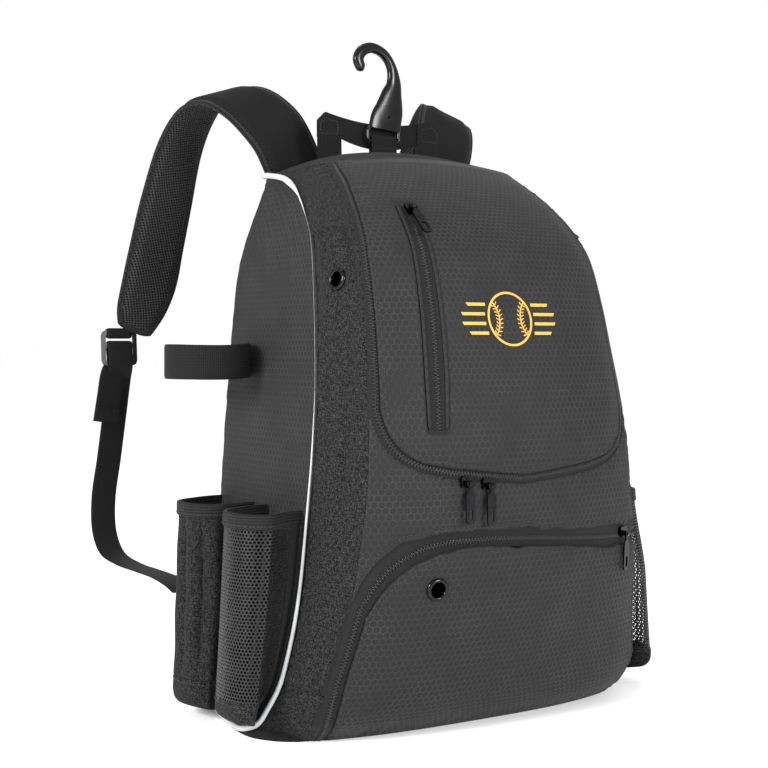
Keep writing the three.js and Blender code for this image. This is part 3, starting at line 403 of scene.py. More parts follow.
# The piping is a cord under a light grey reflective cover, sewn round the front, foot and top of each side.
# Its cover is smooth tape set with tiny glass beads, so it looks flat and pale under soft light.
piping_radius = 1.7
cover_shows = [[8, 60, 150, 240, 290, 435, 455, 468, 478], [1.4, 1.1, 0.8, 0.4, 0.05, 0.05, 0.5, 1.7, 1.5]]


def reflective_cover():
    """Retroreflective tape: pale grey, almost smooth, with a fine grain from its beads."""
    made, tree, _ = material("reflective_piping_cover", "#d6d8da", Roughness=0.42, Specular_IOR_Level=0.6)
    place = node(tree, "ShaderNodeTexCoord").outputs["Object"]
    grain = node(tree, "ShaderNodeTexNoise", {"Vector": place, "Scale": 1400, "Detail": 1}).outputs["Fac"]
    dirt = node(tree, "ShaderNodeTexNoise", {"Vector": place, "Scale": 22, "Detail": 3}).outputs["Fac"]
    colour = node(tree, "ShaderNodeMix", {"Factor": dirt, 6: linear("#7c7e80"), 7: linear("#b4b6b8")},
                  data_type="RGBA").outputs[2]
    return surfaced(made, colour, grain, 0.25, 0.0001)


cover = reflective_cover()


def inward(p):
    """The direction, shared by all panels, in which their thickness lies."""
    a, b, c = half_width * 1.06, 118, seam_height * 0.52
    u, v, w = p[..., 0] / a, (p[..., 1] + 10) / b, (p[..., 2] - c) / (c * 1.02)
    d = -np.stack([u**3 / a, v**3 / b, w**3 / c], -1)
    return d / np.linalg.norm(d, axis=-1, keepdims=True)


def resample(points, count):
    """Evenly spaced points on a smooth line through a few given ones."""
    points = np.asarray(points, float)
    s = arc(points)
    fine = curve(np.column_stack([s, points]), np.linspace(0, s[-1], count * 4)).T
    s = arc(fine)
    even = np.linspace(0, s[-1], count)
    return np.column_stack([np.interp(even, s, fine[:, k]) for k in range(points.shape[1])])


def frames(path, across, closed=False):
    """At each point of a path: a unit vector across it, near the given one, and one at right angles."""
    ahead = np.roll(path, -1, 0) - np.roll(path, 1, 0) if closed else np.gradient(path, axis=0)
    ahead /= np.linalg.norm(ahead, axis=1, keepdims=True)
    a = np.broadcast_to(np.asarray(across, float), path.shape)
    a = a - ahead * (a * ahead).sum(1, keepdims=True)
    a /= np.linalg.norm(a, axis=1, keepdims=True)
    return a, np.cross(ahead, a)


def sweep(name, path, across, profile, finish, nodes=(), closed=False):
    """A solid along a path. The profile is one section, or one for each point, of [across, out]."""
    a, b = frames(path, across, closed)
    profile = np.broadcast_to(profile, (len(path),) + np.shape(profile)[-2:])
    grid = path[:, None] + a[:, None] * profile[..., :1] + b[:, None] * profile[..., 1:]
    rows, n = grid.shape[:2]
    at = np.arange(rows * n).reshape(rows, n)
    right, ahead = np.roll(at, -1, 1), np.roll(at, -1, 0)
    quads = np.stack([at, right, np.roll(right, -1, 0), ahead], -1)
    faces = (quads if closed else quads[:-1]).reshape(-1, 4)[:, ::-1].tolist()
    if not closed:
        faces += [at[0].tolist(), at[-1, ::-1].tolist()]
    s = arc(path)
    plan = np.stack([profile[..., 0], np.repeat(s[:, None], n, 1)], -1)
    return add_mesh(name, grid.reshape(-1, 3), faces, finish, nodes, plan.reshape(-1, 2))


def round_section(radius, count=12):
    angle = np.linspace(0, 2 * math.pi, count, endpoint=False)
    return np.column_stack([np.cos(angle) * radius, np.sin(angle) * radius])


def piping(label, side):
    z = np.concatenate([np.linspace(side_low, 60, 40), np.linspace(62, 476.5, 150)])
    foot = side_point(np.full(26, side_low), np.linspace(0.985, 0.03, 26))
    front = np.stack([-piping_edge(z)[0], piping_edge(z)[1], z], -1)
    crown = side_point(np.full(4, side_high), np.array([0.15, 0.4, 0.65, 0.9]))
    crown = np.repeat(crown, 3, 0) + np.tile([[0, 0, 0], [0, 1, 0], [0, 2, 0]], (4, 1))
    line = np.concatenate([foot, front, crown])
    line = line - inward(line) * (piping_radius + 1)
    line[:, 2] = np.maximum(line[:, 2], piping_radius + 1.3)
    path = resample(line[::3], 240) * side
    # The cover shows most where the seam opens, at the top and under the foot
    wide = np.interp(path[:, 2], *cover_shows)
    section = round_section(piping_radius)[None] * wide[:, None, None]
    sweep("piping_" + label, path, inward(path), section, cover, ["piping_" + label])


both_sides(piping)

# The gusset is a band of heathered canvas that wraps the front corner from the crown to the foot.
# It is pieced from three lengths, with a turned and stitched cross seam near the top and the bottom.
ground_row = [[-166, -70], [-181, -57], [-191.5, -34], [-189, 5], [-178, 46], [-162.6, 94]]
ground_shares = [[0.021, 0], [0.016, 0], [0.0104, 0], [0.0104, 0.2], [0.0104, 0.55], [0.0104, 0.985]]
top_corner = [-118.4, 44, 475]
front_heights = [483, 475, 464, 450, 432, 410, 380, 340, 300, 260, 220, 180, 140, 110, 90, 68, 48, 30, 12, 0]
piping_heights = [475, 471, 465, 456, 441, 417, 385, 342, 302, 262, 222, 182, 142, 112, 94, 73, 54, 38, 24, 15]
gusset_bow = 3
cross_seams = [(4.7, 1), (16.35, -1)]    # the row that each lies at, and which way it laps
eyelet_hole = 7.9


def heather_canvas():
    """Polyester canvas of mixed dark and grey yarns: matt, with a visible plain weave."""
    made, tree, _ = material("heathered_polyester_canvas", "#171718", Roughness=0.85, Sheen_Weight=0.01,
                             Sheen_Roughness=0.5, Specular_IOR_Level=0.08)
    thread_mm = 1.25    # real yarns are 0.6 mm, drawn coarser so that they show
    place = node(tree, "ShaderNodeUVMap", uv_map="cloth_mm").outputs[0]
    tone = []
    for stretch in ((1.1 / thread_mm, 0.22, 1), (0.22, 1.1 / thread_mm, 1)):
        run = node(tree, "ShaderNodeVectorMath", {0: place, 1: stretch}, operation="MULTIPLY").outputs[0]
        noise = node(tree, "ShaderNodeTexNoise", {"Vector": run, "Scale": 1, "Detail": 2, "Roughness": 0.6})
        tone.append(noise.outputs["Fac"])
    wave = waves(tree, place, (math.pi / thread_mm,) * 3)
    weave = node(tree, "ShaderNodeMath", {0: wave[0], 1: wave[1]}, operation="MULTIPLY").outputs[0]
    over = node(tree, "ShaderNodeMapRange", {"Value": weave, "From Min": -0.2, "From Max": 0.2}).outputs[0]
    yarn = node(tree, "ShaderNodeMix", {"Factor": over, 2: tone[0], 3: tone[1]}).outputs[0]
    grey = node(tree, "ShaderNodeMapRange", {"Value": yarn, "From Min": 0.42, "From Max": 0.64}).outputs[0]
    colour = node(tree, "ShaderNodeMix", {"Factor": grey, 6: linear("#060606"), 7: linear("#2e2e2e")},
                  data_type="RGBA").outputs[2]
    height = node(tree, "ShaderNodeMath", {0: weave, 1: yarn}, operation="ADD").outputs[0]
    return surfaced(made, colour, height, 0.7, 0.00025)


canvas = heather_canvas()


def gusset_rows():
    """Rows of end points, piping side first, smoothly joined from the crown to the back of the foot."""
    px, py = piping_edge(np.array(piping_heights, float))
    fx, fy = front_edge(np.array(front_heights, float))
    outer = np.stack([-px, py, piping_heights], -1)
    outer[0] = top_corner
    inner = np.stack([-fx, fy, front_heights], -1)
    share = np.array(ground_shares)
    outer = np.concatenate([outer, side_point(share[:, 0] * seam_height, share[:, 1])])
    inner = np.concatenate([inner, np.column_stack([ground_row, np.zeros(6)])])
    place = np.arange(len(outer))[:, None]
    t = np.linspace(0.06, len(outer) - 1, 270)
    return curve(np.hstack([place, outer]), t).T, curve(np.hstack([place, inner]), t).T, t


def gusset_spot(row, v):
    """A point on the band between two of its straight-sided rows."""
    px, py = piping_edge(np.array(piping_heights, float))
    fx, fy = front_edge(np.array(front_heights, float))
    found = []
    for i in (int(row), int(row) + 1):
        a, b = np.array([-px[i], py[i], piping_heights[i]]), np.array([-fx[i], fy[i], front_heights[i]])
        p = a + (b - a) * v
        found.append(p - inward(p) * gusset_bow * 4 * v * (1 - v))
    return found[0] + (found[1] - found[0]) * (row - int(row))


across = gusset_spot(6.1, 0.8) - gusset_spot(6.1, 0.2)
out = np.cross(across, gusset_spot(5.5, 0.5) - gusset_spot(6.7, 0.5))
band_eyelet = (gusset_spot(6.1, 0.5), out / np.linalg.norm(out))


def gusset(label, side):
    outer, inner, t = gusset_rows()
    width = np.linalg.norm(outer - inner, axis=1)
    inset = ((seam_gap + 0.1) / width)[:, None]
    v = inset + (1 - 2 * inset) * spaced(30)[None]
    grid = outer[:, None] + (inner - outer)[:, None] * v[..., None]
    bow = gusset_bow * 4 * v * (1 - v) * (1 - smooth((t - 18.5) / 1.5))[:, None]
    grid = grid - inward(grid) * bow[..., None]
    edge, seam = from_edge(grid, "left right")
    along = lengths(grid, 0)
    proud = 0.5 * drift(along, edge * 3, 70, 11) * smooth(edge / 9) - 0.5 * turned(edge, 3)
    proud = proud + puckers(edge, seam, 0.8, 13, 21)
    proud = proud + 0.9 * drift(edge * np.sign(v - 0.5) * 2.4, along * 0.4, 60, 19) * smooth(edge / 12)
    # Cross seams: one length is turned under and lies over the next, which gathers below it
    for place, lap in cross_seams:
        far = (along - np.interp(place, t, along[:, 15])) * lap
        lapped = np.exp(-np.minimum(far, 0) ** 2 / 160) * (far < 1.2)
        proud = proud + 1.5 * smooth((1.2 - far) / 1.2) * lapped
        proud = proud - 1.4 * np.exp(-((far - 2) / 2) ** 2) - 0.5 * np.exp(-((far + 5) / 0.9) ** 2)
        gather = np.sin(2 * math.pi * edge * np.sign(v - 0.5) / 13 + 1.5 + place)
        fade = np.exp(-np.maximum(far, 0) / 24) * smooth((far - 1) / 5) * smooth((edge - 3) / 5)
        proud = proud + 1.7 * gather * fade
    # The eyelet sits in a shallow ring pressed into the band
    centre = band_eyelet[0]
    near = np.linalg.norm(grid - centre, axis=-1)
    proud = proud * smooth((near - 8) / 8) * smooth(grid[..., 2] / 30)
    piece = cloth("gusset_" + label, grid * side, proud, 2, canvas, ["gusset_" + label])
    punch(piece, centre * side, eyelet_hole)


def punch(piece, centre, radius):
    """Cuts a round hole through a piece of cloth, square to its surface there."""
    mesh = piece.data
    points = np.array([v.co for v in mesh.vertices]) / MM
    centre = np.asarray(centre, float)
    near = points[np.argsort(np.linalg.norm(points - centre, axis=1))[:120]]
    normal = np.linalg.svd(near - near.mean(0))[2][-1]
    u = np.cross(normal, [0, 0, 1])
    u /= np.linalg.norm(u)
    v = np.cross(normal, u)
    sides = 32
    ring = [centre + radius * (math.cos(a) * u + math.sin(a) * v)
            for a in np.linspace(0, 2 * math.pi, sides, endpoint=False)]
    reach = normal * 16
    drill_mesh = bpy.data.meshes.new("drill")
    verts = [(p + s * reach) * MM for s in (-1, 1) for p in ring]
    faces = [[i, (i + 1) % sides, sides + (i + 1) % sides, sides + i] for i in range(sides)]
    faces += [list(range(sides - 1, -1, -1)), list(range(sides, 2 * sides))]
    drill_mesh.from_pydata([list(p) for p in verts], [], faces)
    drill = bpy.data.objects.new("drill", drill_mesh)
    bpy.context.scene.collection.objects.link(drill)
    cut = piece.modifiers.new("hole", "BOOLEAN")
    cut.operation, cut.solver, cut.object = "DIFFERENCE", "EXACT", drill
    bpy.context.view_layer.update()
    made = bpy.data.meshes.new_from_object(piece.evaluated_get(bpy.context.evaluated_depsgraph_get()))
    piece.modifiers.clear()
    piece.data = made
    bpy.data.objects.remove(drill)
    while len(made.materials) > 1:
        made.materials.pop()


both_sides(gusset)

# The front flap is one big ripstop panel over thin foam. Its edge is turned under and topstitched
# 4 mm in, and it closes with the zip that runs round it. The other front panels lie on the same form.
bulge_rows = np.array([[0, 18], [0.207, 24], [0.518, 24], [0.828, 18], [1, 6]])
crown_height = 8.6
flap_half = [[0.563, 0.771], [0.594, 0.761], [0.675, 0.747], [0.758, 0.734], [0.824, 0.722],
             [0.884, 0.688], [0.932, 0.647], [0.97, 0.604], [1, 0.578]]
flap_low = np.array([[0, 0.450], [0.363, 0.4596], [0.605, 0.468], [0.79, 0.480], [0.90, 0.501],
                     [0.965, 0.530], [1, 0.571]])
flap_lift = 2
welt_edges = np.array([[0.528, -0.552, -0.452], [0.613, -0.538, -0.422], [0.70, -0.520, -0.404],
                       [0.775, -0.507, -0.395], [0.832, -0.496, -0.393], [0.87, -0.485, -0.385],
                       [0.908, -0.471, -0.375]])


def front_point(x, z, lift=0.0):
    """Front of the bag at x across and z up, raised by lift along its normal."""
    def at(x, z):
        w, y = front_edge(z)
        s = np.minimum(np.abs(x / w), 1)
        rise = crown_height * (1 - s * s) * smooth((z / seam_height - 0.787) / 0.213)
        return np.stack([x, y - np.interp(z / seam_height, *bulge_rows.T) * (1 - s**3), z + rise], -1)

    x, z = np.broadcast_arrays(np.asarray(x, float), np.asarray(z, float))
    up = at(x, np.minimum(z + 1.5, seam_height)) - at(x, np.maximum(z - 1.5, 0))
    normal = np.cross(at(x + 1.5, z) - at(x - 1.5, z), up)
    normal /= np.linalg.norm(normal, axis=-1, keepdims=True)
    return at(x, z) + normal * np.asarray(lift, float)[..., None]


def flap_half_at(z):
    return curve(flap_half, z / seam_height)[0] * half_width


def flap_low_at(a):
    """Height of the flap's lower edge, at a share of its half width."""
    return curve(flap_low, np.abs(a))[0] * seam_height


def front_plan(grid):
    """Front panels are cut from one roll of cloth, so they share one direction for its pattern."""
    s = np.linspace(0, seam_height, 400)
    up = arc(front_point(0 * s, s))
    return np.stack([grid[..., 0] * 1.06, np.interp(grid[..., 2], s, up)], -1)


def welt_at(z):
    k = z / seam_height
    left, right = (np.interp(k, welt_edges[:, 0], welt_edges[:, side]) for side in (1, 2))
    return (left + right) / 2 * half_width, (right - left) / 2 * half_width


cols, rows = spaced(144, -1, 1), spaced(140, 0, 0.998)
low = flap_low_at(cols)[None]
z = low + (seam_height - low) * rows[:, None]
x = cols[None] * flap_half_at(z)
flap_grid = front_point(x, z)
edge, along = from_edge(flap_grid, "left low right")
top_away = lengths(flap_grid, 0)
top_away = top_away[-1:] - top_away
proud = (flap_lift + 2.0 * smooth(edge / 26) * smooth(top_away / 14) - 0.55 * turned(edge, 4)
         + 0.45 * drift(x, z, 150, 41) * smooth(edge / 30) + puckers(edge, along, 0.4, 15, 43, 12))
# The topstitching pulls the cloth down, and slack gathers beside the sewn-in zip
proud = proud - 0.55 * np.exp(-((edge - 4.2) / 1.1) ** 2)
middle, reach = welt_at(z)
beside = np.abs(x - middle)
welt_low, welt_high = 0.522 * seam_height, 0.914 * seam_height
inside = smooth((reach + 2.5 - beside) / 2.5) * smooth((z - welt_low) / 3) * smooth((welt_high - z) / 3)
proud = proud * (1 - inside) + 1.7 * inside
proud = proud + (1 - inside) * puckers(np.maximum(beside - reach, 0), z, 0.3, 19, 45, 14) * smooth(
    (z - 0.52 * seam_height) / 20) * smooth((0.92 * seam_height - z) / 20)
flap = cloth("front_flap", flap_grid, proud, proud + 0.5, ripstop, ["front_flap"],
             plan=front_plan(flap_grid))


# Zips: woven polyester tape with a nylon coil down its middle, sewn under the panels' turned edges.
# The tape is cut a little wider than the slot, so its edges run on under the cloth.
def woven_tape():
    """Plain black polyester tape: matt, with fine ribs along its length."""
    made, tree, _ = material("woven_polyester_tape", "#161617", Roughness=0.72, Sheen_Weight=0.02,
                             Specular_IOR_Level=0.12)
    place = node(tree, "ShaderNodeUVMap", uv_map="cloth_mm").outputs[0]
    across_mm, along_mm = 1.1, 0.9
    wave = waves(tree, place, (2 * math.pi / across_mm, 2 * math.pi / along_mm, 0))
    height = node(tree, "ShaderNodeMath", {0: wave[1], 1: 0.35, 2: wave[0]},
                  operation="MULTIPLY_ADD").outputs[0]
    shade = node(tree, "ShaderNodeTexNoise", {"Vector": place, "Scale": 0.4, "Detail": 4}).outputs["Fac"]
    colour = node(tree, "ShaderNodeMix", {"Factor": shade, 6: linear("#101010"), 7: linear("#1b1b1b")},
                  data_type="RGBA").outputs[2]
    return surfaced(made, colour, height, 0.6, 0.0002)


def nylon(name, colour, rough):
    """Drawn nylon filament or thread: a soft shine along each length, slightly uneven in tone."""
    made, tree, shader = material(name, colour, Roughness=rough, Specular_IOR_Level=0.3)
    place = node(tree, "ShaderNodeTexCoord").outputs["Object"]
    shade = node(tree, "ShaderNodeTexNoise", {"Vector": place, "Scale": 500, "Detail": 1}).outputs["Fac"]
    level = node(tree, "ShaderNodeMapRange", {"Value": shade, "To Min": 0.75, "To Max": 1.25}).outputs[0]
    toned = node(tree, "ShaderNodeHueSaturation", {"Color": linear(colour), "Value": level}).outputs[0]
    tree.links.new(toned, shader.inputs["Base Color"])
    return made


tape_cloth = woven_tape()
coil_nylon = nylon("nylon_zip_coil", "#1e1e1f", 0.3)
thread_nylon = nylon("bonded_nylon_thread", "#232324", 0.5)


def laid(line, piece, pitch):
    """A line dropped on to pieces of cloth: even points on it, the way ahead and the way out."""
    mesh = piece.data
    tree = BVHTree.FromPolygons([v.co / MM for v in mesh.vertices], [p.vertices[:] for p in mesh.polygons])
    s = arc(line)
    even = (np.arange(max(int(s[-1] / pitch), 2)) + 0.5) * pitch
    hits = [tree.find_nearest([np.interp(e, s, line[:, k]) for k in range(3)]) for e in even]
    at, out = np.array([hit[0] for hit in hits]), np.array([hit[1] for hit in hits])
    ahead = np.gradient(at, axis=0)
    ahead /= np.maximum(np.linalg.norm(ahead, axis=1, keepdims=True), 1e-9)
    out = out - ahead * (out * ahead).sum(1, keepdims=True)
    return at, ahead, out / np.maximum(np.linalg.norm(out, axis=1, keepdims=True), 1e-9)


def beads(name, at, ahead, out, half_long, half_thick, finish):
    """Small rounded bars, all in one mesh: stitches or the turns of a zip's coil."""
    ring = [(x, math.cos(a), math.sin(a)) for x in (-0.6, 0.6) for a in np.arange(5) * 2 * math.pi / 5]
    shape = np.array([(-1, 0, 0)] + ring + [(1, 0, 0)]) * [half_long, half_thick, half_thick]
    faces = [(0, 1 + (i + 1) % 5, 1 + i) for i in range(5)]
    faces += [(11, 6 + i, 6 + (i + 1) % 5) for i in range(5)]
    faces += [(1 + i, 1 + (i + 1) % 5, 6 + (i + 1) % 5, 6 + i) for i in range(5)]
    side = np.cross(out, ahead)
    points = (at[:, None] + ahead[:, None] * shape[None, :, :1] + out[:, None] * shape[None, :, 1:2]
              + side[:, None] * shape[None, :, 2:])
    every = [tuple(12 * k + i for i in face) for k in range(len(at)) for face in faces]
    return add_mesh(name, points.reshape(-1, 3), every, finish, sharp=80)


def stitches(name, lines, piece, pitch=3.4):
    """Rows of thread sewn through a piece."""
    thread_half = 0.34
    rows = [laid(np.asarray(line), piece, pitch) for line in lines]
    at, ahead, out = (np.concatenate([row[k] for row in rows]) for k in range(3))
    return beads(name, at + out * 0.08, ahead, out, pitch * 0.41, thread_half, thread_nylon)


def coil(name, line, piece):
    """The closed coil of a zip: its turns lie across the tape, from the left and the right in turn."""
    turn_mm = 1.45
    at, ahead, out = laid(np.asarray(line), piece, turn_mm)
    side = np.cross(out, ahead)
    shift = np.where(np.arange(len(at)) % 2, 0.75, -0.75)[:, None]
    return beads(name, at + side * shift + out * 0.45, side, out, 1.9, 0.62, coil_nylon)


def inset(grid, sides, distance, inside=body_middle):
    """A line that follows the named edges of a grid at a distance, held above its surface."""
    lift = 3
    line = border(grid, sides)
    line = line[np.insert(np.linalg.norm(np.diff(line, axis=0), axis=1) > 1e-6, 0, True)]
    normal, _ = facing(grid, inside)
    rim = border(normal, sides)[-len(line):]
    s = arc(line)
    even = np.linspace(0, s[-1], int(s[-1] / 2.5))
    line = np.column_stack([np.interp(even, s, line[:, k]) for k in range(3)])
    rim = np.column_stack([np.interp(even, s, rim[:, k]) for k in range(3)])
    rim /= np.linalg.norm(rim, axis=1, keepdims=True)
    ahead = np.gradient(line, axis=0)
    ahead /= np.linalg.norm(ahead, axis=1, keepdims=True)
    inwards = np.cross(rim, ahead)
    if ((grid.mean((0, 1)) - line) * inwards).sum() < 0:
        inwards = -inwards
    return line + inwards * distance + rim * lift


def zip_tape(name, pairs_near, pairs_far, lift, place, node_name, over=0.2):
    """Tape between two lines of (x, z), and its coil at a share of the way across."""
    t = np.linspace(-over, 1 + over, 9)[None, :, None]
    flat = pairs_near[:, None] + (pairs_far - pairs_near)[:, None] * t
    grid = front_point(flat[..., 0], flat[..., 1])
    sag = np.where((t[..., 0] < 0) | (t[..., 0] > 1), -0.5, 0) * np.ones(grid.shape[:2])
    plan = np.stack([(t[..., 0] * np.linalg.norm(pairs_far - pairs_near, axis=1)[:, None]),
                     np.repeat(arc(grid[:, 4])[:, None], 9, 1)], -1)
    tape = cloth(name, grid, lift + sag, 0.8, tape_cloth, [node_name], plan=plan)
    middle = pairs_near + (pairs_far - pairs_near) * place
    line = front_point(middle[:, 0], middle[:, 1], lift + 2)
    coil(name + "_coil", line, tape)


def denser(points, count):
    s = arc(points)
    even = np.linspace(0, s[-1], count)
    return np.column_stack([np.interp(even, s, points[:, k]) for k in range(points.shape[1])])


middle_top = np.array([[0, 0.4345], [0.323, 0.4425], [0.54, 0.450], [0.708, 0.462], [0.834, 0.480],
                       [0.92, 0.504], [0.974, 0.533], [1, 0.562]])
middle_low = np.array([[-1, 0.236], [-0.985, 0.264], [-0.971, 0.282], [-0.90, 0.316], [-0.778, 0.3435],
                       [-0.615, 0.3545], [-0.308, 0.3575], [0, 0.3555], [0.28, 0.3480], [0.627, 0.3440],
                       [0.89, 0.3420], [1, 0.3400]])


def eased(rows, t, blur=0.02):
    """A table read in straight steps, with its corners eased off."""
    return sum(np.interp(t + d * blur, *rows.T) for d in (-1, -0.5, 0, 0.5, 1)) / 5


def flap_zip_lines():
    a = spaced(150, -1, 1)
    high = np.linspace(0.999 * seam_height, flap_low_at(-1), 90)[:-1]
    near = np.column_stack([-flap_half_at(high) - 0.3, high])
    far = np.column_stack([-(front_edge(high)[0] - 0.45), high])
    zi = flap_low_at(a)
    near_low = np.column_stack([a * (flap_half_at(zi) + 0.4), zi - seam_gap])
    d = np.abs(a)
    s = np.sign(a) * np.minimum(1, d * 0.985 + 0.015 * smooth((d - 0.85) / 0.1))
    zo = eased(middle_top, np.abs(s)) * seam_height + seam_gap
    far_low = np.column_stack([s * (front_edge(zo)[0] - 0.45), zo])
    flip = [-1, 1]
    near = np.concatenate([near, near_low, near[::-1] * flip])
    far = np.concatenate([far, far_low, far[::-1] * flip])
    return near, far


near, far = flap_zip_lines()
zip_tape("flap_zip", near, far, -0.4, 0.42, "flap_zip")

height = np.linspace(0.531, 0.905, 60) * seam_height
middle, reach = welt_at(height)
welt_near, welt_far = (np.column_stack([middle + side * reach * 0.9, height]) for side in (-1, 1))
zip_tape("welt_zip", welt_near, welt_far, 2.7, 0.5, "flap_welt_zip", 0.02)
# Two folded lips of the flap's own cloth half cover the welt's tape
lip = round_section(1.0, 10) * [1.7, 0.8]
for side, label in ((-1, "left"), (1, "right")):
    wide = middle + side * (reach - 0.9)
    path = front_point(wide, height, 3.2)
    fade = np.minimum(smooth((height - height[0] + 1) / 5), smooth((height[-1] - height + 1) / 5))
    section = lip[None] * (0.3 + 0.7 * fade[:, None, None])
    sweep("welt_lip_" + label, path, (1, 0, 0), section, ripstop)

# The middle panel is a ripstop band between the flap's zip and the lower pocket's zip.
# It is pulled tight by both, so it only swells a little and shows small gathers at its seams.
cols, rows = spaced(170, -1, 1), spaced(46)[:, None]
low = eased(middle_low, cols) * seam_height + seam_gap
high = eased(middle_top, np.abs(cols)) * seam_height - seam_gap
low = low + 0.7 * (1 + drift(cols * 150, cols * 0, 26, 57)).clip(0) * smooth((1 - np.abs(cols)) / 0.1)
z = low[None] + (high - low)[None] * rows
x = cols[None] * (front_edge(z)[0] - seam_gap - 0.1)
middle_grid = front_point(x, z)
edge, along = from_edge(middle_grid, "left low right high")
proud = (0.9 * smooth(edge / 12) - 0.5 * turned(edge, 3) + 0.25 * drift(x, z, 90, 51) * smooth(edge / 15)
         + puckers(edge, along, 0.55, 11, 53, 7) - 0.4 * np.exp(-((edge - 4) / 1.0) ** 2) + 0.5)
middle_piece = cloth("middle_panel", middle_grid, proud, proud + 1.5, ripstop, ["middle_panel"],
                     plan=front_plan(middle_grid))

# The lower pocket is a ripstop panel with a curved zip over it and a metal eyelet for a key cord.
# Its lower edge is sewn down to the base, where the cloth rolls under.
pocket_left = np.array([[0, -0.884], [0.052, -0.911], [0.104, -0.908], [0.155, -0.875], [0.217, -0.838],
                        [0.34, -0.82]])
pocket_top = np.array([[0, 0.217], [0.02, 0.252], [0.06, 0.284], [0.12, 0.311], [0.19, 0.327], [0.27, 0.333],
                       [0.42, 0.332], [0.6, 0.324], [0.8, 0.314], [1, 0.306]])
pocket_lift, pocket_eyelet = 3, (-82, 129)


def pocket_x(a, z):
    left, right = eased(pocket_left, z / seam_height) * half_width, front_edge(z)[0] - seam_gap - 0.1
    return left + (right - left) * a


cols, rows = spaced(144), spaced(100)[:, None]
high = eased(pocket_top, cols, 0.012) * seam_height
high = high - 0.8 * (1 + drift(cols * 260, cols * 0, 24, 67)).clip(0) * smooth((cols - 0.1) / 0.1)
z = np.maximum(high[None] * rows, 0.2)
x = pocket_x(cols[None], z)
pocket_grid = front_point(x, z)
edge, along = from_edge(pocket_grid, "right high left")
proud = (pocket_lift * smooth(z / 30) + 0.9 * smooth((edge - 2) / 30) * smooth((z - 12) / 40)
         - 0.5 * turned(edge, 3.5) + 0.5 * drift(x, z, 110, 61) * smooth(edge / 30) * smooth(z / 40)
         + puckers(edge, along, 0.6, 12, 63, 8) - 0.45 * np.exp(-((edge - 4) / 1.0) ** 2) * smooth(z / 20))
ring_away = np.hypot(x - pocket_eyelet[0], z - pocket_eyelet[1])
proud = proud * smooth((ring_away - 9) / 8) + pocket_lift * (1 - smooth((ring_away - 9) / 8))
proud = proud + puckers(np.maximum(z, 0), x, 0.5, 21, 65, 13) * smooth(z / 4)
pocket = cloth("lower_pocket", pocket_grid, proud, np.minimum(proud + 0.4, 2.5), ripstop,
               ["lower_pocket"], plan=front_plan(pocket_grid))
punch(pocket, front_point(*pocket_eyelet, pocket_lift), eyelet_hole)


def lower_zip_lines():
    up = np.linspace(0.3, 0.217 * seam_height, 60)
    near = np.column_stack([pocket_x(0, up) - 0.4, up])
    far = np.column_stack([-(front_edge(up)[0] - 0.5), up])
    a = np.linspace(0, 1, 200)[1:]
    zi = eased(pocket_top, a, 0.012) * seam_height + seam_gap
    near = np.concatenate([near, np.column_stack([pocket_x(a, zi) - 0.2, zi])])
    # Each row pairs a place along the pocket's edge with one across the panel above it
    paired = [[0, -1], [0.02, -0.985], [0.06, -0.94], [0.12, -0.86], [0.19, -0.74], [0.27, -0.615],
              [0.345, -0.46], [0.42, -0.308], [0.51, -0.13], [0.6, 0.05], [0.7, 0.28], [0.8, 0.5],
              [0.9, 0.75], [1, 1]]
    s = curve(paired, a)[0]
    zo = eased(middle_low, s) * seam_height - seam_gap
    return near, np.concatenate([far, np.column_stack([s * (front_edge(zo)[0] - 0.45), zo])])


near, far = lower_zip_lines()
zip_tape("lower_zip", near, far, -0.5, 0.46, "lower_zip")
stitches("front_stitching", [inset(flap_grid, "left low right", 4.2)], flap)
stitches("middle_stitching", [inset(middle_grid, "low", 4.0), inset(middle_grid, "high", 4.0)], middle_piece)
stitches("pocket_stitching", [inset(pocket_grid, "right high left", 4.0)], pocket)

# The crown is closed by a canvas panel behind the flap's top seam.
# It is cut to the curve of both seams and stays a little arched over the opening below it.
rear_height, back_crown, top_arch = 0.989 * seam_height, 23, 7


def back_point(x, z):
    w, y = back_edge(z)
    s = np.minimum(np.abs(x) / w, 1)
    rise = back_crown * (1 - s * s) * smooth((z - 370) / (rear_height - 370))
    return np.stack(np.broadcast_arrays(x, y + 4 * (1 - s * s), z + rise), -1)


def top_point(s, v):
    """Crown panel: s across from -1 to 1, v from the flap's seam to the handle seam."""
    rear_wide, top_wide, a = back_edge(rear_height)[0], front_edge(seam_height)[0], np.abs(s)
    t = np.clip((a - 0.83) / 0.17, 0, 1)[..., None]
    start, end = np.array([top_wide, -12, 483]), np.array([-top_corner[0], top_corner[1], top_corner[2]])
    corner = (start + (end - start) * t) * np.stack([np.sign(s), 1 + 0 * s, 1 + 0 * s], -1)
    corner[..., 2:] += 10 * t * (1 - t)
    crown = front_point(s / 0.83 * (top_wide - 0.5), np.full_like(s, seam_height))
    front = np.where(a[..., None] < 0.83, crown, corner)
    point = front + (back_point(s * rear_wide, rear_height) - front) * v[..., None]
    point[..., 2] += top_arch * 4 * v * (1 - v) * (1 - s**4) + 0.5
    return point


s, v = np.meshgrid(spaced(110, -0.995, 0.995), spaced(60, 0.01, 0.985))
top_grid = top_point(s, v)
edge, along = from_edge(top_grid)
proud = (0.8 * drift(top_grid[..., 0], top_grid[..., 1], 80, 71) * smooth(edge / 25) - 0.5 * turned(edge, 3)
         + puckers(edge, along, 0.35, 13, 73) - 0.4 * np.exp(-((edge - 4) / 1.0) ** 2))
top_piece = cloth("top_panel", top_grid, proud, 2, canvas, ["top_panel"])
top_lines = [inset(top_grid, "low", 4.0), inset(top_grid, "high", 4.0)]
stitches("top_stitching", top_lines, top_piece)

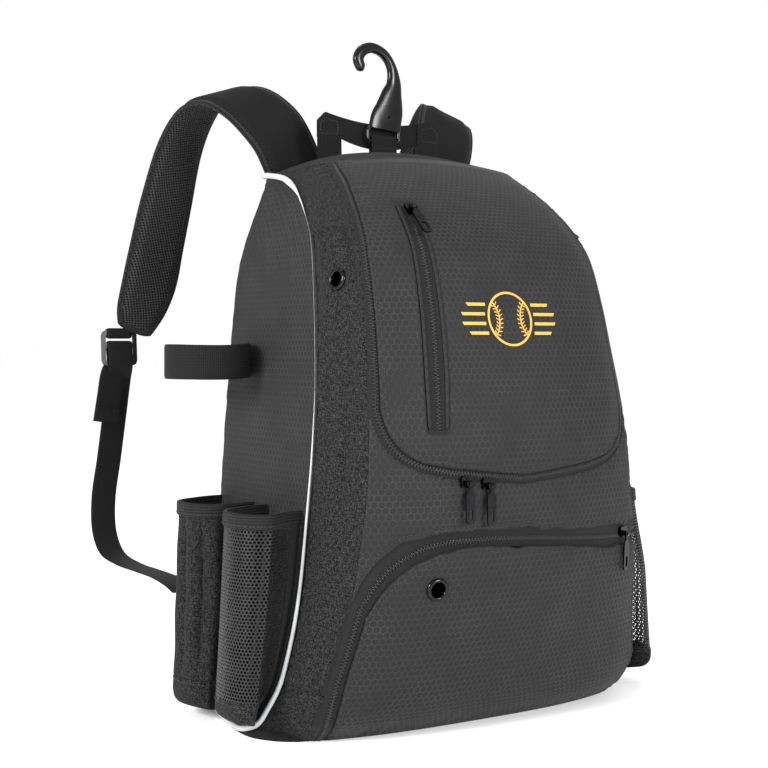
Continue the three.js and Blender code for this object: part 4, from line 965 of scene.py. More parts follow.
# The back is spacer mesh over foam, quilted into upright pads with channels between them for air.
# The foam is about 7 mm thick and thins out where it is sewn into the side seams.


def holed_cloth(name, hole_shade_and_yarn, step, hole, lean, rough):
    """Cloth with staggered round holes, step mm apart, whose rows lean by an angle; the holes are painted
    darker, a painted shade in them.
    """
    made, tree, _ = material(name, hole_shade_and_yarn[1], Roughness=rough, Sheen_Weight=0.01,
                             Specular_IOR_Level=0.08)
    step = (*step, 1)
    flat = node(tree, "ShaderNodeUVMap", uv_map="cloth_mm").outputs[0]
    place = node(tree, "ShaderNodeMapping", {"Vector": flat, "Rotation": (0, 0, lean)}).outputs[0]
    apart = []
    for shift in ((0, 0, 0), (step[0] / 2, step[1] / 2, 0)):
        moved = node(tree, "ShaderNodeVectorMath", {0: place, 1: shift}, operation="SUBTRACT").outputs[0]
        share = node(tree, "ShaderNodeVectorMath", {0: moved, 1: step}, operation="DIVIDE").outputs[0]
        part = node(tree, "ShaderNodeVectorMath", {0: share}, operation="FRACTION").outputs[0]
        local = node(tree, "ShaderNodeVectorMath", {0: part, 1: step, 2: (-step[0] / 2, -step[1] / 2, 0)},
                     operation="MULTIPLY_ADD").outputs[0]
        apart.append(node(tree, "ShaderNodeVectorMath", {0: local}, operation="LENGTH").outputs["Value"])
    nearest = node(tree, "ShaderNodeMath", {0: apart[0], 1: apart[1]}, operation="MINIMUM").outputs[0]
    yarn = node(tree, "ShaderNodeMapRange", {"Value": nearest, "From Min": hole * 0.6, "From Max": hole * 1.3},
                interpolation_type="SMOOTHSTEP").outputs[0]
    # Painted shade: the holes take the darker colour, the yarn round them the lighter one
    colour = node(tree, "ShaderNodeMix", {"Factor": yarn, 6: linear(hole_shade_and_yarn[0]), 7: linear(hole_shade_and_yarn[1])},
                  data_type="RGBA").outputs[2]
    return surfaced(made, colour, yarn, 0.9, 0.0006)


# Warp-knitted polyester spacer mesh: dull black yarn round holes painted near black as painted shade, in rows
# that lean.
# The holes of the real knit are about 3 mm apart, drawn at 4 mm so that they show.
mesh_knit = holed_cloth("knitted_spacer_mesh", ("#030303", "#2b2b2b"), (4.4, 3.6), 0.95, 0.45, 0.85)
s, z = np.meshgrid(spaced(80, -1, 1), spaced(120, 3, rear_height - 0.8))
back_grid = back_point(s * (back_edge(z)[0] - seam_gap), z)
edge, along = from_edge(back_grid)
aside = np.abs(back_grid[..., 0])
channel_aside, channel_wide, channel_low, channel_high = 26, 4, 60, 430
pads = (np.exp(-((aside - channel_aside) / channel_wide) ** 2) * smooth((z - channel_low) / 30)
        * smooth((channel_high - z) / 30))
for cross_height in (150, 270):
    cross = np.exp(-((z - cross_height + 0.12 * aside) / channel_wide) ** 2)
    pads = np.maximum(pads, cross * smooth((aside - 20) / 10) * smooth((edge - 12) / 10))
proud = (2.2 * smooth(edge / 16) - 1.2 * turned(edge, 3.5) / 1.6 - 3.4 * pads
         + 0.3 * drift(back_grid[..., 0], z, 70, 81) * smooth(edge / 20) + puckers(edge, along, 0.35, 13, 83))
back_piece = cloth("back_panel", back_grid, proud, 7, mesh_knit, ["back_panel"])

# The base is a flat canvas panel that the bag stands on, sewn to the foot of the walls.
base_outline = np.array([[0, -92], [0.49, -89], [0.80, -81], [0.96, -73.6], [1.015, -69.6], [1.106, -56.6],
                         [1.168, -34]])
base_rear = np.array([[0, 96.5], [0.985, 94], [1.08, 46], [1.148, 5], [1.168, -30]])
s, v = np.meshgrid(spaced(60, -1.165, 1.165), spaced(30))
front, rear = np.interp(np.abs(s), *base_outline.T) + 1.1, np.interp(np.abs(s), *base_rear.T) - 1.1
base_grid = np.stack([s * (half_width - 1.1), front + (rear - front) * v, 0 * s], -1)
edge, along = from_edge(base_grid)
proud = -0.02 - 0.4 * turned(edge, 3) * smooth(edge)
cloth("base_panel", base_grid, proud, 1.9, canvas, ["base_panel"])

# Each side has two open pockets: a net one for a bottle in front and a canvas sleeve for a bat behind.
# Both are U-shaped walls whose edges are sewn to the side panel, with a closed cuff as their floor.
pocket_high, binding_high, cuff_high = 188, 12, 37
bottle = dict(front=0.03, rear=0.40, y=-43, half=36, out=213, flare=9, full=6, shift=-6)
sleeve = dict(front=0.54, rear=0.95, y=51, half=34, out=211, flare=5, full=0, shift=0)
cuff_shape = {"bottle_pocket": [[0, 1, 37], [1, 0.985, 29], [2, 0.93, 22.5], [3, 0.78, 18.5], [4, 0.45, 16],
                                [5, 0.02, 14.5]],
              "bat_sleeve": [[0, 1, 37], [1, 0.98, 24], [2, 0.91, 15], [3, 0.73, 10.8], [4, 0.4, 9.2],
                             [5, 0.02, 9]]}


def pouch_point(right, z, phi, pocket, inset=0.0, k=1.0):
    """Wall of a side pocket as on the left side; phi runs round it from its front seam to its rear one."""
    z, phi, k = np.broadcast_arrays(np.asarray(z, float), phi, k)
    foot_z = np.maximum(z, side_low + 1.5)
    px, py = piping_edge(foot_z)
    bx, by = back_edge(foot_z)
    first = np.maximum(pocket["front"], 9 / np.hypot(by - py, bx - px))
    foot = side_point(foot_z, first + (pocket["rear"] - first) * (1 - np.cos(phi)) / 2)
    s, way = np.sin(phi), np.sign(np.cos(phi))
    low = 1 - z / pocket_high
    belly = smooth(low * 2.2) * right
    free = pocket["y"] + pocket["shift"] * belly - way * np.abs(np.cos(phi)) ** 0.8 * pocket["half"]
    y = foot[..., 1] + (free - foot[..., 1]) * smooth(s * 1.9) * k + way * inset
    wall = side_point(foot_z, np.clip((y - py) / (by - py), 0, 1))[..., 0] - 0.9 - 0.7 * smooth((30 - z) / 12)
    out = pocket["out"] + pocket["flare"] * low + pocket["full"] * belly - inset
    return np.stack([wall - (out + wall) * np.maximum(s, 0) ** 0.62 * k, y, z], -1)


def pouch_phi(pocket, t):
    """The angles at which even shares of the wall's length round the pocket lie."""
    fine = np.linspace(0.0005, math.pi - 0.0005, 2000)
    s = arc(pouch_point(0, 100.0, fine, pocket))
    return np.interp(t, s / s[-1], fine), s[-1]


def net(name, right, pocket, side):
    """Knotless nylon net: real hexagonal holes 3.3 mm apart, which stay open to the cloth behind."""
    wide_mm, high_mm, open_share, thick = 3.3, 2.8, 0.72, 0.6
    _, around = pouch_phi(pocket, 0.5)
    lowest, free_high = 34, pocket_high - 43
    count, layers = int(around / wide_mm), int(free_high / high_mm)
    i, j = np.meshgrid(np.arange(count), np.arange(layers))
    cu, cv = ((i + 0.5 * (j % 2)) * wide_mm).ravel(), (lowest + j * high_mm).ravel()
    hexagon = np.array([(0, 2 / 3), (-0.5, 1 / 3), (-0.5, -1 / 3), (0, -2 / 3), (0.5, -1 / 3), (0.5, 1 / 3)])
    corner = hexagon * [wide_mm, high_mm]
    flat = np.stack([cu, cv], -1)[:, None, None] + np.stack([corner, corner * open_share])[None]
    cells = len(cu)
    flat = flat.reshape(-1, 2)
    phi, _ = pouch_phi(pocket, np.clip(flat[:, 0] / around, 0.004, 0.996))
    points = [pouch_point(right, flat[:, 1], phi, pocket, 0.4 + layer * thick) for layer in (0, 1)]
    points = np.concatenate(points) * side
    keep, index = np.unique(np.round(points, 2), axis=0, return_inverse=True)
    index = index.ravel().reshape(2, cells, 2, 6)
    after = np.roll(index, -1, 3)
    front = np.stack([index[0, :, 0], after[0, :, 0], after[0, :, 1], index[0, :, 1]], -1)
    back = np.stack([index[1, :, 1], after[1, :, 1], after[1, :, 0], index[1, :, 0]], -1)
    hole = np.stack([index[0, :, 1], after[0, :, 1], after[1, :, 1], index[1, :, 1]], -1)
    faces = np.concatenate([front.reshape(-1, 4), back.reshape(-1, 4), hole.reshape(-1, 4)])
    faces = faces[[len(set(face)) == 4 for face in faces.tolist()]]
    if side[0] < 0:
        faces = faces[:, ::-1]
    return add_mesh(name, keep, faces.tolist(), net_nylon, [name])


def ribbed_elastic():
    """Woven elastic binding: black, with fine ribs along it where its rubber cords run, painted lighter on
    their crests and darker between them as painted shade.
    """
    made, tree, _ = material("woven_elastic_binding", "#101011", Roughness=0.7, Sheen_Weight=0.02,
                             Specular_IOR_Level=0.12)
    place = node(tree, "ShaderNodeUVMap", uv_map="cloth_mm").outputs[0]
    across_mm, along_mm = 1.3, 2.4
    wave = waves(tree, place, (2 * math.pi / across_mm, 2 * math.pi / along_mm, 0))
    height = node(tree, "ShaderNodeMath", {0: wave[0], 1: 0.25, 2: wave[1]},
                  operation="MULTIPLY_ADD").outputs[0]
    # Painted shade and highlight: the ribs are painted lighter where they are raised and darker in their
    # grooves
    tone = node(tree, "ShaderNodeMapRange", {"Value": height, "From Min": -1.2, "From Max": 1.2}).outputs[0]
    colour = node(tree, "ShaderNodeMix", {"Factor": tone, 6: linear("#070707"), 7: linear("#1b1b1b")},
                  data_type="RGBA").outputs[2]
    return surfaced(made, colour, height, 0.8, 0.0003)


net_nylon, elastic = nylon("knitted_nylon_net", "#161617", 0.4), ribbed_elastic()


def side_pockets(label, side):
    right = int(side[0] < 0)
    for name, pocket, seed in (("bottle_pocket", bottle, 91), ("bat_sleeve", sleeve, 97)):
        inside = np.array([-178, pocket["y"], 110]) * side
        t = spaced(100, 0.003, 0.997, 0.4)
        phi, around = pouch_phi(pocket, t)
        wall_top, wall_low = pocket_high - binding_high - seam_gap, cuff_high + seam_gap
        if name == "bottle_pocket":
            net(f"{name}_{label}", right, pocket, side)
            # A flat tape bound over each upright edge of the net
            for edge_name, low, high in (("front", 0.004, 0.055), ("rear", 0.945, 0.996)):
                angle, _ = pouch_phi(pocket, np.linspace(low, high, 12))
                z, p = np.meshgrid(np.linspace(wall_low - 2, wall_top + 2, 60), angle, indexing="ij")
                strip = pouch_point(right, z, p, pocket, 0.2)
                cloth(f"net_tape_{edge_name}_{label}", strip * side, 0.2, 1.3, tape_cloth,
                      inside=inside)
        else:
            z, p = np.meshgrid(spaced(70, wall_low, wall_top), phi, indexing="ij")
            grid = pouch_point(right, z, p, pocket)
            u = t[None] * around
            fall = smooth((z - 40) / 30) * smooth((wall_top - z) / 25)
            fold_mm = 23
            crease = np.abs(np.sin(math.pi * u / fold_mm + 0.5 * drift(u * 0.3, z * 0.4, 60, seed)))
            folds = 5.5 * (crease**0.7 - 0.8) * (0.3 + 0.7 * fall)
            away = np.minimum(u, around - u)
            proud = folds * smooth(away / 24) - 1 + 0.5 * drift(u, z, 60, seed + 1) * smooth(away / 20)
            cloth(f"{name}_{label}", grid * side, proud, 1.5, canvas, [f"{name}_{label}"],
                  inside=inside)
        z, p = np.meshgrid(spaced(22, pocket_high - binding_high, pocket_high), phi, indexing="ij")
        grid = pouch_point(right, z, p, pocket, -0.7)
        across = np.minimum(z - z[0], z[-1] - z)
        u = t[None] * around
        gather_mm = 4.6
        ripple = np.sin(2 * math.pi * u / gather_mm + 2 * drift(u, z * 0, 20, seed + 2))
        proud = -turned(across, 1.5) * 0.8 + 0.18 * ripple
        band = cloth(f"{name}_binding_{label}", grid * side, proud, 3.2 + 1.6 * (proud - 0.2) / 1.5, elastic,
                     [f"{name}_binding_{label}"], inside=inside)
        stitches(f"{name}_binding_stitching_{label}", [inset(grid * side, "low", 2.4, inside=inside)], band)
        k, z = curve(cuff_shape[name], np.concatenate([np.linspace(0, 2.2, 28), np.linspace(2.3, 5, 16)]))
        z, p = np.meshgrid(z, phi, indexing="ij")
        grid = pouch_point(right, z, p, pocket, 0.0, np.broadcast_to(k[:, None], z.shape))
        drop = lengths(grid, 0)
        proud = (-0.5 * turned(drop, 2.5) + 0.5 * drift(u, z, 45, seed + 3) * smooth(drop / 10)
                 + puckers(drop, u + 0 * z, 0.5, 11, seed + 4, 12))
        cuff = cloth(f"{name}_cuff_{label}", grid[::-1] * side, proud[::-1], 1.8, canvas,
                     [f"{name}_cuff_{label}"], inside=np.array([-178, pocket["y"], 60]) * side)
        stitches(f"{name}_cuff_stitching_{label}",
                 [inset(grid[::-1] * side, "high", 3.2, inside=inside * [1, 1, 0.5])], cuff)


both_sides(side_pockets)

# Bat straps are open loops of webbing, sewn flat to the side panels above the sleeves.
# All webbing on the bag is black polypropylene, woven with plain ribs and sewn with bar tacks.


def webbing_weave():
    """Woven polypropylene webbing: a dull shine, fine cross ribs and slightly raised selvedges; the ribs'
    crests are painted lighter and their grooves darker as painted shade.
    """
    made, tree, _ = material("woven_polypropylene_webbing", "#101011", Roughness=0.6, Sheen_Weight=0.01,
                             Specular_IOR_Level=0.1)
    place = node(tree, "ShaderNodeUVMap", uv_map="cloth_mm").outputs[0]
    # The weave repeats every 1.2 mm, drawn at 1.8 mm so that it shows
    across_mm, along_mm = 2.6, 1.8
    wave = waves(tree, place, (2 * math.pi / across_mm, 2 * math.pi / along_mm, 0))
    mixed = node(tree, "ShaderNodeMath", {0: wave[0], 1: wave[1]}, operation="MULTIPLY").outputs[0]
    height = node(tree, "ShaderNodeMath", {0: wave[1], 1: 0.6, 2: mixed}, operation="MULTIPLY_ADD").outputs[0]
    # Painted shade and highlight: the raised ribs are painted lighter and the grooves darker, following the
    # bump's height
    tone = node(tree, "ShaderNodeMapRange", {"Value": height, "From Min": -1.5, "From Max": 1.5}).outputs[0]
    colour = node(tree, "ShaderNodeMix", {"Factor": tone, 6: linear("#040404"), 7: linear("#151515")},
                  data_type="RGBA").outputs[2]
    return surfaced(made, colour, height, 0.8, 0.0003)


webbing = webbing_weave()


def band_section(width, thick):
    """A flat section with rounded selvedges."""
    across = np.concatenate([np.linspace(-1, 1, 13), np.linspace(1, -1, 13)])
    half = thick / 2 * np.clip((1 - np.abs(across)) * width / 2 / (thick * 0.5), 0, 1) ** 0.5
    out = np.where(np.arange(26) < 13, -half, half)
    keep = np.concatenate([np.arange(0, 13), np.arange(14, 25)])
    return np.column_stack([across * width / 2, out])[keep]


def bat_strap(label, side):
    rx, ry, z = 38, 33, 310
    wall = side_point(np.array(float(z)), 0.72)[0]
    a = np.linspace(0, 2 * math.pi, 96, endpoint=False)
    sway = 1.2 * np.sin(2 * a + 0.6) * (1 - np.cos(a)) / 2
    path = np.column_stack([wall - rx - 2.6 - np.cos(a) * rx, 56 + np.sin(a) * ry, z + sway])
    strap = sweep("bat_strap_" + label, path * side, (0, 0, 1), band_section(30, 1.6), webbing,
                  ["bat_strap_" + label], closed=True)
    tacks = []
    for dy in (-9, 9):
        spot = path[np.argmin(np.abs(path[:, 1] - 56 - dy) + 100 * (path[:, 0] < wall - rx))]
        tacks.append((spot + np.array([[-2, 0, -13], [-2, 0, 13]])) * side)
    stitches("bat_strap_tacks_" + label, tacks, strap, pitch=1.9)


both_sides(bat_strap)

# The haul handle is one length of webbing, folded square at both corners and sewn into the handle seam.
# The hook hangs from a second, shorter loop of webbing in front of it.
handle_out, handle_wide, handle_top, handle_sag, handle_y, hook_y = 69, 26, 541.5, 8, 63, 57


def top_height(x, y):
    s = np.array(x / back_edge(rear_height)[0])
    first, last = top_point(s, np.array(0.0))[1], top_point(s, np.array(1.0))[1]
    return top_point(s, np.minimum((y - first) / (last - first), 1))[2]


def handle_band():
    s, v = np.meshgrid(np.linspace(-1, 1, 90), np.linspace(0, 1, 12))
    x = s * (handle_out - 0.5)
    arch = handle_top - handle_sag * (1 - (x / (handle_out - 9)) ** 2).clip(0, 1)
    high = np.minimum(arch, handle_top - 9 + (handle_out - np.abs(x)))
    low = handle_top - handle_wide + 2 - handle_sag * (1 - (x / (handle_out - handle_wide)) ** 2).clip(0, 1)
    z = low + (high - low) * v
    y = handle_y + 0.75 + 0.5 * np.sin(x / 17 + 1) * (1 - s**4)
    grid = np.stack([x, y, z], -1)
    plan = np.stack([(v - 0.5) * handle_wide, x], -1)
    return cloth("haul_handle", grid, 0.6, 1.2, webbing, ["haul_handle"],
                 inside=np.array([0, 300, 500]), plan=plan)


handle_band()
for label, sign in (("left", -1), ("right", 1)):
    v, u = np.meshgrid(np.linspace(0, 1, 60), np.linspace(0, 1, 12), indexing="ij")
    x = -handle_out + u * handle_wide
    low = top_height(-56, handle_y) - 2
    high = np.minimum(handle_top - 0.6 - handle_sag * (1 - (x / (handle_out - 9)) ** 2).clip(0, 1),
                      handle_top - 9.5 + (handle_out + x))
    z = low + (high - low) * v
    grid = np.stack([x * -sign, handle_y - 0.75 + 0.25 * np.sin(z / 9), z], -1)
    leg = cloth("handle_leg_" + label, grid, 0.6, 1.1, webbing, inside=np.array([0, 300, 500]),
                plan=np.stack([u * handle_wide, z], -1))
    box = [(-66, 521), (-47, 521), (-47, 532), (-60, 535), (-66, 530), (-66, 521)]
    line = np.array([(-sign * x, handle_y - 6, z) for x, z in box])
    stitches("handle_tacks_" + label, [denser(line, 60)], leg, pitch=2.4)

bar_height = 517
a = np.linspace(math.pi, 0, 14)
foot = top_height(0, hook_y) - 1.5
path = np.concatenate([
    [[0, hook_y - 2.6, z] for z in np.linspace(foot, bar_height + 1.5, 10)],
    np.column_stack([0 * a, hook_y + 2.6 * np.cos(a), bar_height + 2.4 + 2.6 * np.sin(a)]),
    [[0, hook_y + 2.6, z] for z in np.linspace(bar_height + 1.5, foot, 10)]])
hook_web = sweep("hook_webbing", path, (1, 0, 0), band_section(28, 1.5), webbing, ["hook_webbing"])
tack = np.array([[-12, hook_y - 6, 510.0], [12, hook_y - 6, 510]])
stitches("hook_webbing_tack", [tack], hook_web, pitch=1.9)

# The fence hook is one moulding of glossy black acetal: a slotted foot that grows into a tapered J.
# Its section is softly rounded all along, and it narrows to a blunt tip.
hook_rows = [[2.3, 528, 18.5, 3.4], [3.5, 537, 17.5, 3.6], [6.8, 547, 15.6, 4], [9.7, 561, 11.6, 4.2],
             [12.2, 573.4, 7.6, 4.2], [9.4, 588.5, 4.9, 4.2], [1.1, 599.7, 4.6, 4.2], [-11.5, 604.6, 4.9, 4.2],
             [-22.3, 601.6, 5.4, 4.2], [-27.6, 593.5, 5.4, 4.2], [-25.2, 585.5, 4.7, 4.4],
             [-22.5, 582, 3.4, 3.6]]


def acetal():
    """Injection-moulded acetal: deep black and glossy, with a very slight unevenness from the mould."""
    made, tree, shader = material("moulded_black_acetal", "#070708", Roughness=0.2, IOR=1.48,
                                  Specular_IOR_Level=0.22)
    place = node(tree, "ShaderNodeTexCoord").outputs["Object"]
    sink = node(tree, "ShaderNodeTexNoise", {"Vector": place, "Scale": 90, "Detail": 2}).outputs["Fac"]
    rough = node(tree, "ShaderNodeMapRange", {"Value": sink, "To Min": 0.14, "To Max": 0.28}).outputs[0]
    bump = node(tree, "ShaderNodeBump", {"Height": sink, "Strength": 0.15, "Distance": 0.0004}).outputs[0]
    tree.links.new(rough, shader.inputs["Roughness"])
    tree.links.new(bump, shader.inputs["Normal"])
    return made


black_acetal = acetal()
rows = np.array(hook_rows)
s = arc(rows[:, :2])
rows = curve(np.column_stack([s, rows]), np.linspace(0, s[-1], 110)).T
tip = np.clip((s[-1] - np.linspace(0, s[-1], 110)) / 4, 0, 1)
rows[:, 2:] *= np.sqrt(1 - (1 - tip[:, None]) ** 2).clip(0.15)
path = np.column_stack([rows[:, 0], 0 * rows[:, 0] + hook_y, rows[:, 1]])
a = np.linspace(0, 2 * math.pi, 28, endpoint=False)
section = np.stack([np.sign(np.sin(a)) * np.abs(np.sin(a)) ** 0.8 * rows[:, 3:], np.cos(a) * rows[:, 2:3]], -1)
hook = sweep("fence_hook", path, (0, 1, 0), section, black_acetal, ["fence_hook"])
punch(hook, (4, hook_y, 540), 1.6)
corners = [(-1, 1), (1, 1), (1, -1), (-1, -1)]
path = []
for k, (sx, sz) in enumerate(corners):
    for a in np.linspace(0, math.pi / 2, 8):
        a = math.pi / 2 * (1 - k) + math.pi / 2 - a
        path.append([sx * 13.8 + 3.5 * math.cos(a), hook_y, 523 + sz * 3.2 + 3.5 * math.sin(a)])
path = np.array(path)
sweep("hook_foot", path, (0, 1, 0), round_section(1.0, 16) * [2.4, 1.75], black_acetal, closed=True)

# Shoulder straps are 11 mm foam with punched jersey outside and spacer mesh towards the wearer.
# A woven binding closes their edges, and they narrow to a tab that holds the ladder lock.
strap_rows = np.array([
    [-38, 89.9, 462, -97, 91, 454], [-45, 90.4, 490, -103, 90.6, 472], [-53, 97, 519, -110, 92, 490],
    [-62, 107, 543, -116, 96, 505], [-73, 123, 561, -124, 106, 521], [-84, 139, 571, -134, 121, 538],
    [-93, 158, 573, -145, 141, 551], [-101, 180, 566, -155, 161, 552], [-107, 203, 545, -162, 180, 540],
    [-111, 222, 513, -168, 200, 514], [-114, 238, 462, -173, 227, 464], [-118, 248, 420, -177, 243, 422],
    [-123, 254, 383, -181, 252, 388], [-131, 262, 356, -182, 262, 362],
    [-145, 266.5, 333.4, -178, 269.5, 346]])
right_splay = 18


# Foam faced with black jersey and punched with pinholes: soft and matt, with rows of fine dots painted darker
# as painted shade in the pinholes
facing_cloth = holed_cloth("perforated_jersey_facing", ("#010101", "#0e0e0e"), (5.5, 5.5), 0.5, 0.0, 0.8)


def shoulder_strap(label, side):
    rows = strap_rows.astype(float)
    if side[0] < 0:
        splay = right_splay * np.sin(math.pi * np.minimum(np.arange(15) / 12, 1))
        rows[:, [0, 3]] -= splay[:, None]
    middle = (rows[:, :3] + rows[:, 3:]) / 2
    place = arc(middle)
    t = spaced(144, 0, place[-1], 0.3)
    fine = curve(np.column_stack([place, rows]), t).T
    inner, outer = fine[:, :3], fine[:, 3:]
    width = np.linalg.norm(outer - inner, axis=1)
    middle = (inner + outer) / 2
    _, out = frames(middle, outer - inner)
    u = spaced(32, -1, 1, 0.8)
    edge = (1 - np.abs(u))[None] * width[:, None] / 2
    ends = np.minimum(t, t[-1] - t)[:, None]
    half = 1.7 + 3.6 * smooth((edge - 2) / 10) * smooth((ends + 2) / 22)
    wave = 0.35 * drift(u[None] * 30, t[:, None], 45, 111) * smooth(edge / 12)
    grid = middle[:, None] + (outer - inner)[:, None] * u[None, :, None] / 2
    plan = np.stack([u[None] * width[:, None] / 2, np.repeat(t[:, None], 32, 1)], -1)
    face = grid + out[:, None] * (half + wave)[..., None]
    lining = grid - out[:, None] * (half + wave * 0.7)[..., None]
    core = middle[:, None]
    outside = cloth("shoulder_strap_" + label, face * side, 0, 1.2, facing_cloth,
                    ["shoulder_strap_" + label], inside=core * side, plan=plan)
    within = cloth("strap_lining_" + label, lining * side, 0, 1.2, mesh_knit,
                   inside=core * side, plan=plan)
    # The binding runs down one edge, round the lower end and up the other
    shares = np.linspace(-1, 1, 16)[1:-1]
    inset_by = 4.6 / width[:, None] * (outer - inner)
    low_end = middle[-1] + shares[:, None] * (outer - inner)[-1] / 2 * 0.92
    low_end = low_end + (middle[-1] - middle[-4]) / np.linalg.norm(middle[-1] - middle[-4]) * (
        -1.5 - 2.5 * np.abs(shares[:, None]) ** 3)
    path = np.concatenate([inner[:-2] + inset_by[:-2], low_end, (outer[:-2] - inset_by[:-2])[::-1]])
    normal = np.concatenate([out[:-2], np.repeat(out[-1:], 14, 0), out[:-2][::-1]])
    keep = np.insert(np.linalg.norm(np.diff(path, axis=0), axis=1) > 0.5, 0, True)
    path, normal = path[keep], normal[keep]
    binding = sweep("strap_binding_" + label, path * side, normal * side, round_section(1.0, 14) * [2.3, 5.4],
                    tape_cloth)
    lines = []
    inwards = np.cross(normal, np.gradient(path, axis=0))
    inwards /= np.linalg.norm(inwards, axis=1, keepdims=True)
    if (inwards[20] * (outer[20] - inner[20])).sum() < 0:
        inwards = -inwards
    for face_side in (1, -1):
        for shift in (2.6, -1.2):
            lines.append((path + normal * face_side * 5 + inwards * shift) * side)
    stitches("strap_stitching_" + label, lines, binding)


both_sides(shoulder_strap)

# Ladder locks are moulded acetal; a webbing tab from the strap's end holds each by its upper bar.
# The adjuster webbing doubles over the middle bar, and its tail hangs free, folded and sewn at its end.
lock_at = np.array([-176.5, 272, 321])
lock_u = np.array([0.98, -0.1, 0]) / math.hypot(0.98, 0.1)
lock_v = np.array([0, 0.1, 0.995]) + lock_u * 0.01 / 0.985
lock_v /= np.linalg.norm(lock_v)
lock_n = np.cross(lock_u, lock_v)


def lock_point(a, b, d):
    return lock_at + lock_u * a + lock_v * b + lock_n * d


def adjuster(label, side):
    lock = bpy.data.objects["ladder_lock_" + label]
    lock.data.materials.clear()
    lock.data.materials.append(black_acetal)
    rounded = lock.modifiers.new("moulded_edges", "BEVEL")
    rounded.width, rounded.segments = 1.3 * MM, 3
    a = np.linspace(math.pi, 2 * math.pi, 16)
    round_bar = [lock_point(0, 13.4 + 3.3 * math.sin(t), 3.3 * math.cos(t)) for t in a]
    tab = np.array([lock_point(0, 19.6, -3.3)] + round_bar + [lock_point(0, 19.6, 3.3)])
    sweep("strap_tab_" + label, tab * side, lock_u * side, band_section(25, 1.6), webbing,
          ["strap_tab_" + label])
    down = [[-174, 279, 288], [-176, 286, 250], [-180, 290, 208], [-186, 289, 170], [-190, 278, 139],
            [-192, 253, 119], [-190, 217, 112], [-187, 180, 110], [-184, 148, 108], [-182, 124, 104],
            [-180.5, 112.6, 100]]
    tail = [lock_point(*p) for p in ((-13, -74, -12), (-9, -48, -9), (-5, -24, -6), (0, -17, -3.8))]
    over = [lock_point(0, 3.4 + 3.3 * math.sin(t), 3.3 * math.cos(t)) for t in np.linspace(math.pi, 0, 9)]
    path = resample(np.array(tail + over + [lock_point(0, -17, 4)] + down), 260) * side
    web = sweep("adjuster_webbing_" + label, path, lock_u * side, band_section(25, 1.3), webbing,
                ["adjuster_webbing_" + label])
    # The tail is folded twice and sewn, so that it cannot slip out of the lock
    end, ahead = path[0], (path[4] - path[0]) / np.linalg.norm(path[4] - path[0])
    width, out = frames(path[:8], lock_u * side)
    fold = end + ahead * np.linspace(0.5, 15, 6)[:, None] + out[0] * 1.4 * (-1 if label == "left" else 1)
    sweep("adjuster_fold_" + label, fold, width[0], band_section(24.4, 1.5), webbing)
    tack = np.array([end + ahead * 11 + width[0] * -10, end + ahead * 11 + width[0] * 10]) + out[0] * 5 * (
        -1 if label == "left" else 1)
    stitches("adjuster_tack_" + label, [tack], web, pitch=2.0)
    top_x, top_y = back_edge(np.array(128.0))
    low_x, low_y = back_edge(np.array(62.0))
    tri = np.array([[-top_x + 1, top_y + 1.4, 128], [-low_x + 1, low_y + 1.4, 62], [-176, 109.5, 84],
                    [-176, 109.5, 108]])
    s, v = np.meshgrid(spaced(30), spaced(30))
    near, far = tri[0] + (tri[1] - tri[0]) * v[..., None], tri[3] + (tri[2] - tri[3]) * v[..., None]
    grid = near + (far - near) * s[..., None]
    edge, _ = from_edge(grid)
    patch = cloth("strap_anchor_" + label, grid * side, 0.8 - 0.3 * turned(edge, 2), 1.6, canvas,
                  ["strap_anchor_" + label], inside=np.array([-120, 60, 95]) * side)
    stitches("anchor_stitching_" + label,
             [inset(grid * side, "left low right high", 3.5, inside=np.array([-120, 60, 95]) * side)], patch)


both_sides(adjuster)

# Eyelets are two-part rings of black-nickelled brass, rolled over the cloth from both sides.
# Zip sliders and their long slotted pulls are zinc castings with the same plating.


def black_nickel():
    """Black nickel plating on a polished casting: dark, mirror-like metal with light hairline wear."""
    made, tree, shader = material("black_nickel_plating", "#3a3b3f", Roughness=0.2, Metallic=1.0)
    place = node(tree, "ShaderNodeTexCoord").outputs["Object"]
    wear = node(tree, "ShaderNodeTexNoise", {"Vector": place, "Scale": 240, "Detail": 4}).outputs["Fac"]
    rough = node(tree, "ShaderNodeMapRange", {"Value": wear, "To Min": 0.1, "To Max": 0.24}).outputs[0]
    colour = node(tree, "ShaderNodeMix", {"Factor": wear, 6: linear("#1a1a1b"), 7: linear("#303032")},
                  data_type="RGBA").outputs[2]
    tree.links.new(rough, shader.inputs["Roughness"])
    tree.links.new(colour, shader.inputs["Base Color"])
    return made


plating = black_nickel()
eyelet_profile = [(6.2, -4.2), (6.2, 1.2), (6.35, 1.9), (6.8, 2.45), (7.5, 2.6), (8.3, 2.45), (9.1, 1.9),
                  (9.6, 1.2), (9.6, 0.6), (9.2, 0.3), (7.7, 0.3), (7.7, -4.2)]


def eyelet(name, centre, out):
    across = np.cross(out, [0, 0, 1.0])
    across /= np.linalg.norm(across)
    up = np.cross(out, across)
    profile = np.array(eyelet_profile)
    points = [centre + (across * math.cos(a) + up * math.sin(a)) * r + out * h
              for a in np.linspace(0, 2 * math.pi, 48, endpoint=False) for r, h in profile]
    n = len(profile)
    faces = [(i * n + j, i * n + (j + 1) % n, (i + 1) % 48 * n + (j + 1) % n, (i + 1) % 48 * n + j)
             for i in range(48) for j in range(n)]
    add_mesh(name, points, faces, plating, [name], sharp=70)


